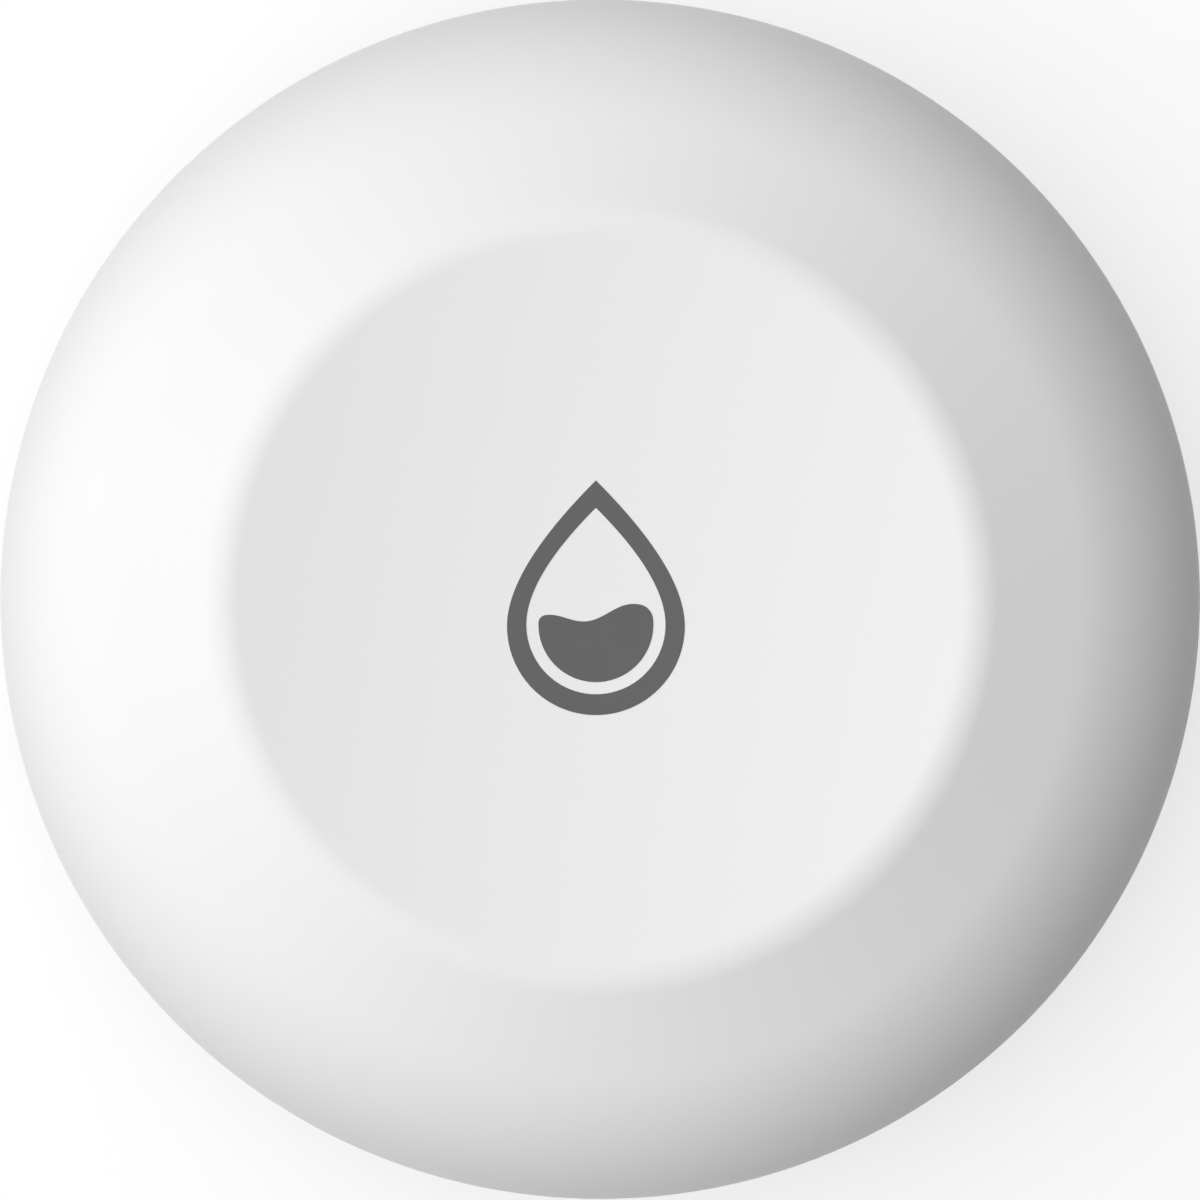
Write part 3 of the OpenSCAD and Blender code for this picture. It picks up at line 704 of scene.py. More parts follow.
def cover_shape():
    """Cover with bosses for the case screws and a pocket for the pictogram."""
    bevel, bevel_out, bevel_in = 0.12, 0.06, 0.072
    mouth, rim, tip, outer_steps, inner_steps = 0.12, 0.2, 0.1, 14, 6
    outer, inner = cover_line(0, outer_steps), cover_line(WALL, inner_steps)
    edge = outer[-1][0]
    outer[-1:] = [(edge + bevel_out, PART_Z + bevel), (edge - bevel_in, PART_Z)]
    shell = lathe(outer + inner[::-1], FINE)
    hole_r = SCREW_R + FIT_GAP
    boss, faces = spun([(hole_r, BOSS_Z, mouth), (BOSS_R, BOSS_Z, rim), (BOSS_R, BODY_H, 0), (0, BODY_H, 0),
                        (0, BOSS_HOLE_TOP, 0), (hole_r, BOSS_HOLE_TOP, tip)])
    boss = [(x, y, min(z, cover_top(hypot(x + RING_R, y)) - WALL / 2)) for x, y, z in boss]
    shell = combined(shell, around((boss, faces), SCREW_ANGLES), "UNION")
    pocket = merged(droplet_line_shape(POCKET_PROUD), droplet_water_shape(POCKET_PROUD))
    return combined(shell, pocket, "DIFFERENCE")


def in_dish(outline, depth):
    """Points of the pictogram on the dish, or below it."""
    placed = [(x + DROP_X, y + DROP_Y) for x, y in outline]
    return [(x, y, DISH_C[1] - sqrt(DISH_R ** 2 - x * x - y * y) - depth) for x, y in placed]


def drop_outline(radius, tip, lift=0.0):
    """Droplet with a square tip, its round end at the origin or lifted above it."""
    steps = 48
    shares = [i / steps for i in range(1, steps + 1)]
    side = [(radius * (1 - t * t), 2 * t * (1 - t) * (tip - radius) + t * t * tip) for t in shares]
    mirrored = [(-x, y) for x, y in side[-2::-1]]
    return [(x, y + lift) for x, y in arc((0, 0), radius, 180, 360, 2 * steps) + side + mirrored]


def droplet_line_shape(proud=PRINT_PROUD):
    """Line around the droplet, a little proud of the dish."""
    outer = drop_outline(DROP_R, DROP_TIP)
    inner = drop_outline(DROP_R - DROP_LINE, DROP_TIP - DROP_LINE * sqrt(2) - DROP_LIFT, DROP_LIFT)
    return stacked([in_dish(outer, -proud), in_dish(inner, -proud),
                    in_dish(inner, PRINT_DEPTH), in_dish(outer, PRINT_DEPTH)], closed=True)


def wave(x):
    """Height of the water's wave."""
    return WAVE_LEVEL + WAVE_TILT * x + WAVE_HEIGHT * cos(2 * pi * (x - WAVE_CREST) / WAVE_LENGTH)


def wave_corner(radius, side, corner):
    """Centre of the round corner between the wave and the circle, and where it meets the wave."""
    samples, halvings, widest = 400, 40, 0.6
    reach = radius - corner
    grid = [side * radius * i / samples for i in range(samples + 1)]

    def nearest(turn):
        """Smallest gap to the wave at a turn, its place, and the corner's centre."""
        cx, cy = side * reach * cos(turn), reach * sin(turn)
        return *min((hypot(x - cx, wave(x) - cy), x) for x in grid), (cx, cy)

    low, high = -widest, widest
    for _ in range(halvings):
        middle = (low + high) / 2
        gap, _x, center = nearest(middle)
        if gap > corner and center[1] < wave(center[0]):
            low = middle
        else:
            high = middle
    _gap, x, center = nearest(low)
    return center, x


def heading(start, end):
    """Direction from one point to another, in degrees."""
    return degrees(atan2(end[1] - start[1], end[0] - start[0]))


def droplet_water_shape(proud=PRINT_PROUD):
    """Water in the droplet: a circle cut off by a wave, with round corners."""
    steps, corner_steps, middle_y = 60, 10, -0.9
    shares = (0.25, 0.5, 0.75, 1.0)
    radius = DROP_R - DROP_LINE - DROP_GAP
    right, right_x = wave_corner(radius, 1, WAVE_ROUND_RIGHT)
    left, left_x = wave_corner(radius, -1, WAVE_ROUND_LEFT)
    right_turn, left_turn = heading((0, 0), right), heading((0, 0), left) % 360
    right_end = heading(right, (right_x, wave(right_x)))
    left_start = heading(left, (left_x, wave(left_x)))
    crests = [right_x + (left_x - right_x) * i / steps for i in range(1, steps)]
    outline = (arc((0, 0), radius, left_turn, 360 + right_turn, 2 * steps)
               + arc(right, WAVE_ROUND_RIGHT, right_turn, right_end, corner_steps)[1:]
               + [(x, wave(x)) for x in crests]
               + arc(left, WAVE_ROUND_LEFT, left_start, left_turn, corner_steps)[:-1])
    sizes = [[(x * s, middle_y + (y + DROP_LIFT - middle_y) * s) for x, y in outline] for s in shares]
    return stacked([in_dish(ring, -proud) for ring in sizes]
                   + [in_dish(ring, PRINT_DEPTH) for ring in reversed(sizes)])


def post_shape(radius):
    """Post on the floor of the base."""
    foot, rim, sunk = 0.3, 0.2, 0.1
    low = FLOOR_Z - sunk
    return spun([(0, low, 0), (radius + foot, low, 0), (radius, FLOOR_Z + foot, foot),
                 (radius, BOARD_Z, rim), (0, BOARD_Z, 0)])


def base_shape():
    """Base with its lip, gasket groove, holes, pillars and posts."""
    crisp, edge, rim, lead, lip_round, floor_round = 0.08, 0.1, 0.15, 0.2, 0.25, 0.4
    flank_steps, flank_short = 24, 1
    seam_turn = degrees(asin((SKIRT_H + SEAM_H) / LOWER_R)) + flank_short
    groove = GASKET_W / 2 + FIT_GAP
    groove_in, groove_out, groove_z = GASKET_R - groove, GASKET_R + groove, RIM_Z - GASKET_H
    upper = rounded([(RIM_R, PART_Z - SEAM_H, 0), (RIM_R, RIM_Z, rim), (groove_out, RIM_Z, crisp),
                     (groove_out, groove_z, crisp), (groove_in, groove_z, crisp), (groove_in, RIM_Z, crisp),
                     (LIP_R, RIM_Z, edge), (LIP_R, LIP_TOP, lip_round), (CAVITY_R, LIP_TOP, lip_round),
                     (CAVITY_R, FLOOR_Z, floor_round), (0, FLOOR_Z, 0)])
    flank = arc((FLAT_R, BELT_Z), LOWER_R, -90, -seam_turn, flank_steps)
    shell = lathe([(0, UNDERSIDE_Z)] + flank + upper, FINE)
    posts = merged(around(post_shape(PILLAR_R), SCREW_ANGLES),
                   around(post_shape(POST_R), BOARD_SCREW_ANGLES))
    shell = combined(shell, posts, "UNION")
    above, past = FLOOR_Z + CUT_PAST, BOARD_Z + CUT_PAST
    button = drill(crisp, UNDERSIDE_Z, (LABEL_R, LABEL_Z), (KEY_HOLE_R, above))
    screw = drill(lead, UNDERSIDE_Z, (BORE_R, SEAT_Z), (SCREW_R + 3 * FIT_GAP, past))
    foot = drill(edge, UNDERSIDE_Z, (FOOT_R + FIT_GAP, UNDERSIDE_Z + FOOT_SEAT))
    board_screw = drill(0, FLOOR_Z + CUT_LEAD, (BOARD_SCREW_R + FIT_GAP, past))
    pin = drill(crisp, UNDERSIDE_Z, (PIN_POCKET_R, PIN_POCKET_TOP), (PIN_R + FIT_GAP, above))
    guide = drill(edge, LABEL_Z, (GUIDE_R + FIT_GAP, above))
    sockets = merged(button, around(screw, SCREW_ANGLES), around(foot, FOOT_ANGLES),
                     around(board_screw, BOARD_SCREW_ANGLES), at_pins(pin))
    shell = combined(shell, sockets, "DIFFERENCE")
    return combined(shell, moved(guide, at(0, GUIDE_Y)), "DIFFERENCE")


def gasket_shape():
    """Soft ring in the groove of the base."""
    edge, crown, steps, half = 0.1, 0.3, 6, GASKET_W / 2
    return band(GASKET_R - half, GASKET_R + half, RIM_Z - GASKET_H, RIM_Z, edge, crown, FINE, steps)


def soft_ring(in_r, out_r, low, high):
    """Soft sealing ring with rounded rims."""
    share = 0.3
    soft = share * min(out_r - in_r, high - low)
    return band(in_r, out_r, low, high, soft, soft)


def cell_seal_shape():
    """Ring between the cell's can and its cap."""
    low, high = cad_box_mm("cell_seal")
    return soft_ring(cad_box_mm("cell_cap")[1].x, high.x, low.z, high.z)


def foot_shape():
    """Rubber foot with a shallow ring in its sole."""
    dent, dent_edge, slope, side, soft, edge = 0.12, 0.05, 0.15, 0.45, 0.3, 0.1
    ring = ((0.42, 0), (0.46, dent), (0.58, dent), (0.62, 0))
    sole = [(FOOT_R * share, z, dent_edge) for share, z in ring]
    top = UNDERSIDE_Z + FOOT_SEAT
    return spun([(0, 0, 0)] + sole + [(FOOT_R - slope, 0, soft), (FOOT_R, side, soft), (FOOT_R, top, edge),
                                      (0, top, 0)])


def plus_outline(arm, bar, tip, nook):
    """Plus sign with arms of a length and half width."""
    corners = []
    for turn in range(4):
        for x, y, radius in ((arm, -bar, tip), (arm, bar, tip), (bar, bar, nook)):
            for _ in range(turn):
                x, y = -y, x
            corners.append((x, y, radius))
    return rounded(corners, 3)


def cross_recess(head_z, up, size):
    """Cutter for a cross recess that opens at head_z."""
    tip, nook, bar, bar_growth = 0.1, 0.08, 0.126, 0.084
    rings = []
    for rise, share in ((-0.2, 1.15), (0, 1.05), (0.75, 0.55)):
        outline = plus_outline(size * share, size * (bar + bar_growth * share), tip * size, nook * size)
        rings.append(flat(outline, head_z + rise * up))
    return stacked(rings)


def screw_head(radius, crown_z, flat_z, crown, crown_round, edge):
    """Domed screw head with a cross recess."""
    crown_h, side, steps, recess = 0.45, 0.25, 5, 0.6
    up = 1 if flat_z > crown_z else -1
    section = [(0, crown_z, 0), (radius * crown, crown_z, crown_round),
               (radius, crown_z + crown_h * up, side), (radius, flat_z, edge), (0, flat_z, 0)]
    head = spun(section, steps=steps)
    return combined(head, cross_recess(crown_z, up, radius * recess), "DIFFERENCE")


def case_screw_shape():
    """Captive case screw with its head below and a threaded shank."""
    depth, pitch, overlap, point = 0.16, 0.4, 0.05, 0.5
    head = screw_head(HEAD_R, HEAD_Z - HEAD_H, HEAD_Z, crown=0.75, crown_round=0.6, edge=0.1)
    return combined(head, thread(SCREW_R, depth, pitch, HEAD_Z - overlap, SCREW_TOP, point), "UNION")


def board_screw_shape():
    """Small screw with its head above the board."""
    point, overlap = 0.3, 0.1
    high, top = BOARD_TOP + BOARD_HEAD_H, BOARD_TOP + overlap
    head = screw_head(BOARD_HEAD_R, high, BOARD_TOP, crown=0.72, crown_round=0.5, edge=0.08)
    shank = [(0, FLOOR_Z), (BOARD_SCREW_R, FLOOR_Z + point), (BOARD_SCREW_R, top), (0, top)]
    return combined(head, lathe(shank, COARSE), "UNION")


def pin_shape():
    """Probe pin: a domed head below the base, a shank and a collar."""
    foot, rim, steps = 0.08, 0.15, 6
    spread = PIN_HEAD_R - PIN_EDGE
    dome = (spread ** 2 + PIN_PROUD ** 2 - PIN_EDGE ** 2) / (2 * (PIN_PROUD - PIN_EDGE))
    turn = degrees(atan2(PIN_PROUD - dome, spread))
    collar = rounded([(PIN_R, UNDERSIDE_Z, 0), (PIN_R, FLOOR_Z, 0), (PIN_COLLAR_R, FLOOR_Z, foot),
                      (PIN_COLLAR_R, PIN_TOP, rim), (0, PIN_TOP, 0)])
    return lathe(arc((0, UNDERSIDE_Z - PIN_PROUD + dome), dome, -90, turn, steps)
                 + arc((spread, UNDERSIDE_Z), PIN_EDGE, turn, 0, steps) + collar)


def button_shape():
    """Power button with a shallow dimple and a stem to the switch."""
    dimple, dish_r, dish_turn, steps = 0.18, 12.0, 12, 8
    bevel, flat_share, edge, nook, tip = 0.12, 0.9, 0.1, 0.05, 0.08
    side = rounded([(KEY_R * flat_share, KEY_Z, edge), (KEY_R, KEY_Z + bevel, edge), (KEY_R, KEY_TOP, edge),
                    (KEY_STEM_R, KEY_TOP, nook), (KEY_STEM_R, KEY_STEM_TOP, tip), (0, KEY_STEM_TOP, 0)])
    return lathe(arc((0, KEY_Z + dimple - dish_r), dish_r, 90, 90 - dish_turn, steps) + side)


def button_ring_shape():
    """Soft folded ring that seals the button."""
    wall, edge, fold = 0.3, 0.1, 0.2
    in_r, out_r, top = KEY_R + FIT_GAP, KEY_HOLE_R - FIT_GAP, FLOOR_Z - FIT_GAP
    web = top - wall
    return spun([(in_r, KEY_Z, edge), (in_r + wall, KEY_Z, edge), (in_r + wall, web, fold),
                 (out_r - wall, web, fold), (out_r - wall, KEY_Z, edge), (out_r, KEY_Z, edge),
                 (out_r, top, edge), (in_r, top, edge)])


def guide_shape():
    """Light guide with a domed end in the underside and a flange inside."""
    crown, crown_h, crown_round, side, edge, crisp, nook = 0.7, 0.25, 0.5, 0.2, 0.1, 0.05, 0.02
    top, flange = cad_box_mm("light_guide")[1].z, FLOOR_Z + GUIDE_FLANGE_T
    guide = spun([(0, LABEL_Z, 0), (GUIDE_R * crown, LABEL_Z, crown_round),
                  (GUIDE_R, LABEL_Z + crown_h, side), (GUIDE_R, FLOOR_Z, nook),
                  (GUIDE_FLANGE_R, FLOOR_Z, crisp), (GUIDE_FLANGE_R, flange, edge),
                  (GUIDE_R, flange, edge), (GUIDE_R, top, crisp), (0, top, 0)])
    return moved(guide, at(0, GUIDE_Y))


# Board and its parts

def board_outline():
    """Round board with four notches for the pillars of the case."""
    gap, corner, skip_more, notch_steps, edge_steps = 0.4, 0.4, 2.0, 20, 40
    notch_r = BOSS_R + gap
    mouth = sqrt(BOARD_R ** 2 - notch_r ** 2)
    skip = degrees(asin(notch_r / BOARD_R)) + skip_more
    notch = ([(mouth, -notch_r - corner), (mouth - corner, -notch_r)]
             + arc((RING_R, 0), notch_r, -90, -270, notch_steps)
             + [(mouth - corner, notch_r), (mouth, notch_r + corner)])
    points = []
    for angle in SCREW_ANGLES:
        points += [tuple((turned(angle) @ Vector((x, y, 0)))[:2]) for x, y in notch]
        points += arc((0, 0), BOARD_R, angle + skip, angle + 90 - skip, edge_steps)
    return points


def board_shape():
    """Board with holes for its screws."""
    edge = 0.06
    hole = drill(0, BOARD_Z, (BOARD_SCREW_R + FIT_GAP, BOARD_TOP + CUT_PAST))
    board = slab(board_outline(), BOARD_Z, BOARD_TOP, edge)
    return combined(board, around(hole, BOARD_SCREW_ANGLES), "DIFFERENCE")


# Tracks, listed one by one: radius, first and last angle, and the step outwards at each end
TRACKS = (
    (13.9, 14, 62, 1.2, 1.0), (14.5, 18, 40, 1.5, 0), (23.6, 14, 32, 0, -1.3),
    (23.0, 58, 76, -1.0, 0), (13.9, 108, 168, 1.2, 0), (14.5, 112, 150, 1.2, 1.4),
    (15.1, 116, 138, 1.2, 1.2), (23.5, 102, 128, -1.6, 0), (22.9, 144, 166, 0, -1.2),
    (13.9, 194, 252, 1.0, 1.2), (14.5, 200, 222, 1.4, 1.2), (23.4, 198, 216, -1.2, 0),
    (23.4, 236, 254, 0, -1.4), (13.9, 286, 346, 1.2, 1.0), (14.5, 292, 320, 1.6, 0),
    (15.1, 298, 318, 1.2, 1.2), (23.5, 284, 306, -1.5, 0), (22.9, 324, 346, 0, -1.3),
)


def track_path(radius, start, stop, *steps):
    """Path of a track around the board, with radial steps at its ends."""
    fewest, degrees_each = 4, 3
    path = arc((0, 0), radius, start, stop, max(fewest, int(abs(stop - start) / degrees_each)))
    first, last = [arc((0, 0), radius + step, turn, turn, 1)[:1] if step else []
                   for turn, step in zip((start, stop), steps)]
    return first + path + last


def tracks_shape():
    """Copper tracks under the solder mask."""
    low, high = BOARD_TOP - TRACK_T, BOARD_TOP + TRACK_T
    return merged(*[slab(ribbon(track_path(*track), TRACK_W), low, high) for track in TRACKS])


def plated_ring(in_r, out_r, segments):
    """Flat plated ring on the board."""
    sunk, edge, steps = 0.1, 0.02, 2
    return band(in_r, out_r, BOARD_TOP - sunk, BOARD_TOP + PLATE_T, 0, edge, segments, steps)


def vias_shape():
    """Plated holes at the tracks' ends, and rings under the board screws."""
    land_in = 0.6 * BOARD_HEAD_R
    via = plated_ring(VIA_R / 2, VIA_R, TINY)
    land = plated_ring(land_in, BOARD_HEAD_R + LAND_W, COARSE)
    spots = []
    for radius, start, stop, *steps in TRACKS:
        for turn, step in zip((start, stop), steps):
            spots.append(moved(via, turned(turn) @ at(radius + step)))
    return merged(around(land, BOARD_SCREW_ANGLES), *spots)


def pad(length, width):
    """Flat solder pad on the board."""
    corner, sunk = 0.08, 0.05
    return slab(rectangle(length, width, corner, 2), -sunk, PLATE_T)


def fillet(length, width, height):
    """Solder that climbs the end of a component, towards Y."""
    narrow, sunk, wide = 0.96, 0.05, length / 2
    rings = []
    for rise, share in ((0.0, 1.0), (0.12, 0.75), (0.4, 0.35), (1.0, 0.0)):
        front, back = width * share, wide * narrow
        corners = [(back, -sunk), (wide, front), (-wide, front), (-back, -sunk)]
        rings.append(flat(corners, height * rise))
    return stacked(rings)


def chip_places(along):
    """Places of small chips: three near each board screw."""
    return [(angle, along, i * CHIP_PITCH) for angle in BOARD_SCREW_ANGLES for i in CHIP_ROWS]


CAPACITOR_PLACES = chip_places(-SIDE_SHIFT)
RESISTOR_PLACES = chip_places(-SIDE_SHIFT - 1.5 * CHIP_L)


def chips_shape(places, height):
    """Bodies of small chips between their metal ends."""
    narrow, lower, overlap, corner, edge = 0.06, 0.02, 1.6, 0.05, 0.04
    body = brick(CHIP_W - narrow, CHIP_L - overlap * CAP_END, TRACK_T, height - lower, corner, edge)
    return merged(*[on_board(body, *place) for place in places])


def chip_ends_shape(places, height):
    """Metal ends and solder of small chips."""
    corner, edge, solder_w, solder_h, pad_more, pad_w, pad_in = 0.06, 0.05, 0.28, 0.6, 0.1, 0.75, 0.02
    cap = moved(brick(CHIP_W, CAP_END, 0, height, corner, edge), at(0, -CAP_END / 2))
    solder = fillet(CHIP_W, solder_w, height * solder_h)
    foot = moved(pad(CHIP_W + pad_more, pad_w), at(0, -pad_in))
    ends = paired(moved(merged(cap, solder, foot), at(0, CHIP_L / 2)))
    return merged(*[on_board(ends, *place) for place in places])


def amplifier_shape():
    """Chip body with sloping sides and a dot at its first lead."""
    slope, belt, corner, rim_cut, top_cut = 0.14, 0.06, 0.08, 0.126, 0.19
    dot_r, dot_depth, dot_inset, over = 0.3, 0.08, 0.75, 0.1
    middle, high = LEAD_T + AMP_H / 2, LEAD_T + AMP_H
    levels = ((LEAD_T, slope), (middle - belt, 0.0), (middle + belt, 0.0), (high - belt, rim_cut),
              (high, top_cut))
    body = stacked([flat(rectangle(AMP_L - 2 * cut, AMP_W - 2 * cut, corner), z) for z, cut in levels])
    dot = lathe([(0, high - dot_depth), (dot_r, high + over), (0, high + over)], COARSE)
    dot = moved(dot, at(-AMP_L / 2 + dot_inset, -AMP_W / 2 + dot_inset))
    return on_board(combined(body, dot, "DIFFERENCE"), *AMP_AT)


def amplifier_leads_shape():
    """Eight gull-wing leads with their pads."""
    lead_w, reach, toe, bend, inside, edge = 0.4, 1.05, 0.5, 0.2, 0.3, 0.03
    pad_l, pad_w, per_side = 0.8, 0.6, 4
    out, high, low = AMP_W / 2, LEAD_T + AMP_H / 2, LEAD_T / 2
    knee = out + reach - toe
    path = ([(out - inside, high)] + arc((knee - bend, high - bend), bend, 90, 0, 4)
            + arc((knee + bend, low + bend), bend, 180, 270, 4) + [(out + reach, low)])
    lead = moved(slab(ribbon(path, LEAD_T), -lead_w / 2, lead_w / 2, edge), turned(90, "X"))
    lead = merged(lead, moved(pad(pad_l, pad_w), at(out + reach - toe / 2)))
    leads = paired(in_row(lead, per_side, AMP_L / per_side))
    return on_board(moved(leads, turned(90)), *AMP_AT)


def capacitor_base_shape():
    """Moulded foot of the capacitor with two cut corners."""
    half, cut, blunt, corner, edge = CAN_BASE_W / 2, 0.9, 0.1, 0.15, 0.08
    outline = rounded([(half - cut, -half, blunt), (half, -half + cut, blunt), (half, half - cut, blunt),
                       (half - cut, half, blunt), (-half, half, corner), (-half, -half, corner)])
    return on_board(slab(outline, 0, CAN_BASE_H, edge), *CAN_AT)


def capacitor_can_shape():
    """Aluminium can with its bead, round shoulder and pressed top."""
    bead, edge, waist, shoulder, dent, dent_edge, steps = 0.25, 0.1, 0.15, 0.45, 0.06, 0.05, 5
    rim, floor = 0.78, 0.74
    low = CAN_BASE_H
    can = spun([(0, low, 0), (CAN_R, low, edge), (CAN_R, low + bead, edge),
                (CAN_R - bead, low + 2 * bead, waist), (CAN_R, low + 3 * bead, edge),
                (CAN_R, CAN_TOP, shoulder), (CAN_R * rim, CAN_TOP, edge),
                (CAN_R * floor, CAN_TOP - dent, dent_edge), (0, CAN_TOP - dent, 0)], steps=steps)
    return on_board(can, *CAN_AT)


def capacitor_mark_shape():
    """Dark segment on the capacitor's top."""
    share, start, stop, sunk, below = 0.72, 130, 230, 0.1, 0.03
    segment = arc((0, 0), CAN_R * share, start, stop, TINY)
    return on_board(slab(segment, CAN_TOP - sunk, CAN_TOP - below), *CAN_AT)


def inductor_shape():
    """Ferrite block with a round groove in its top."""
    rim, corner, edge, nook, flare, over = 0.4, 0.5, 0.12, 0.08, 0.06, 0.3
    out_r, in_r, low, high = COIL_W / 2 - rim, COIL_W / 2 - 2 * rim, COIL_H - rim, COIL_H + over
    block = slab(rectangle(COIL_W, COIL_W, corner), 0, COIL_H, edge)
    groove = spun([(in_r, low, nook), (out_r, low, nook), (out_r + flare, high, 0), (in_r - flare, high, 0)])
    return on_board(combined(block, groove, "DIFFERENCE"), *COIL_AT)


def crystal_shape():
    """Metal crystal can on its flange."""
    flange_t, flange_w, corner, flange_edge, lid_low, lid_edge = 0.25, 0.5, 0.5, 0.06, 0.1, 0.18
    flange = brick(CRYSTAL_W, CRYSTAL_L, 0, flange_t, corner, flange_edge)
    lid = brick(CRYSTAL_W - flange_w, CRYSTAL_L - flange_w, lid_low, CRYSTAL_H, corner, lid_edge)
    return on_board(combined(flange, lid, "UNION"), *CRYSTAL_AT)


def component_pads_shape():
    """Solder pads of the capacitor, the inductor and the crystal."""
    shift = 0.1
    sizes = ((CAN_AT, 1.6, 0.9, CAN_BASE_W / 2 + shift, 0), (COIL_AT, 1.0, 2.6, COIL_W / 2 - shift, 0),
             (CRYSTAL_AT, 1.8, 1.0, 0, CRYSTAL_L / 2 - shift))
    return merged(*[on_board(paired(moved(pad(length, width), at(x, y))), *place)
                    for place, length, width, x, y in sizes])


def radio_pads_shape():
    """Solder joints along two edges of the radio module."""
    radius, rise, soft, inside, pitch, count = 0.34, 0.05, 0.12, 0.12, 0.95, 7
    pad_l, pad_w, pad_out = 0.9, 0.7, 0.2
    high = RADIO_T + rise
    joint = spun([(0, 0, 0), (radius, 0, 0), (radius, high, soft), (0, high, 0)], TINY, 3)
    joint = merged(joint, moved(pad(pad_l, pad_w), at(pad_out)))
    joints = paired(moved(in_row(joint, count, pitch), at(RADIO_L / 2 - inside)))
    return on_board(moved(joints, at(0, -ANTENNA_SIDE)), *RADIO_AT)


def shield_shape():
    """Metal lid over the radio, with a raised middle and dimples."""
    step, corner, edge, roof, room_corner, room_edge = 0.08, 0.5, 0.22, 0.35, 0.3, 0.1
    raised_inset, raised_corner, raised_low, raised_edge = 1.6, 0.6, 0.3, 0.07
    dent_r, dent_mouth, dent_depth, dent_inset = 0.22, 0.3, 0.2, 0.52
    high = RADIO_T + SHIELD_H
    lid = brick(SHIELD_L, SHIELD_W, RADIO_T, high - step, corner, edge)
    raised = brick(SHIELD_L - raised_inset, SHIELD_W - raised_inset, high - raised_low, high, raised_corner,
                   raised_edge)
    dent = lathe([(0, high - dent_depth), (dent_r, high - step), (dent_mouth, high + dent_depth),
                  (0, high + dent_depth)], TINY)
    dents = in_corners(dent, SHIELD_L / 2 - dent_inset, SHIELD_W / 2 - dent_inset)
    room = brick(SHIELD_L - 2 * SHIELD_T, SHIELD_W - 2 * SHIELD_T, RADIO_T - CUT_PAST, high - roof,
                 room_corner, room_edge)
    lid = combined(combined(lid, merged(room, *dents), "DIFFERENCE"), raised, "UNION")
    return on_board(moved(lid, at(0, -ANTENNA_SIDE)), *RADIO_AT)


def antenna_shape():
    """Printed antenna: one gold line that folds to and fro."""
    trace_w, trace_t, sunk, folds = 0.35, 0.1, 0.05, 8
    reach = RADIO_L - 4 * trace_w
    width = RADIO_W - SHIELD_W - 4 * trace_w
    low, high = RADIO_W / 2 - width - trace_w / 2, RADIO_W / 2 - 1.5 * trace_w
    path = []
    for i in range(folds + 1):
        x = -reach / 2 + i * reach / folds
        path += [(x, low), (x, high)] if i % 2 == 0 else [(x, high), (x, low)]
    return on_board(slab(ribbon(path, trace_w), RADIO_T - sunk, RADIO_T + trace_t), *RADIO_AT)


def marks_shape():
    """White outlines printed around the components."""
    line, corner, high, low = 0.13, 0.2, 0.02, -0.03
    frames = ((RADIO_AT, RADIO_L + 1.5, RADIO_W + 0.7), (AMP_AT, AMP_L + 0.6, AMP_W + 2.9),
              (CAN_AT, CAN_BASE_W + 2.2, CAN_BASE_W + 0.5), (COIL_AT, COIL_W + 1.4, COIL_W + 0.6),
              (CRYSTAL_AT, CRYSTAL_W + 0.7, CRYSTAL_L + 1.2))
    marks = []
    for place, length, width in frames:
        outer = rectangle(length, width, corner)
        inner = rectangle(length - 2 * line, width - 2 * line, corner - line / 2)
        loops = [flat(outer, high), flat(inner, high), flat(inner, low), flat(outer, low)]
        marks.append(on_board(stacked(loops, closed=True), *place))
    return merged(*marks)


def cell_shape():
    """Coin cell can with a crimp line and a plus sign on its top."""
    bevel_w, bevel_h, bevel_low, bevel_high, shoulder, steps = 0.25, 0.3, 0.1, 0.2, 0.5, 5
    crimp, crimp_w, crimp_depth, crimp_edge = 0.86 * CELL_R, 0.2, 0.08, 0.05
    arm, bar, tip, nook, sunk, rise, edge = 1.6, 0.3, 0.15, 0.1, 0.1, 0.04, 0.03
    can = spun([(0, CELL_Z, 0), (CELL_R - bevel_w, CELL_Z, bevel_low),
                (CELL_R, CELL_Z + bevel_h, bevel_high), (CELL_R, CELL_TOP, shoulder),
                (crimp + crimp_w, CELL_TOP, crimp_edge),
                (crimp, CELL_TOP - crimp_depth, crimp_edge), (crimp - crimp_w, CELL_TOP, crimp_edge),
                (0, CELL_TOP, 0)], FINE, steps)
    plus = slab(plus_outline(arm, bar, tip, nook), CELL_TOP - sunk, CELL_TOP + rise, edge)
    return combined(can, plus, "UNION")


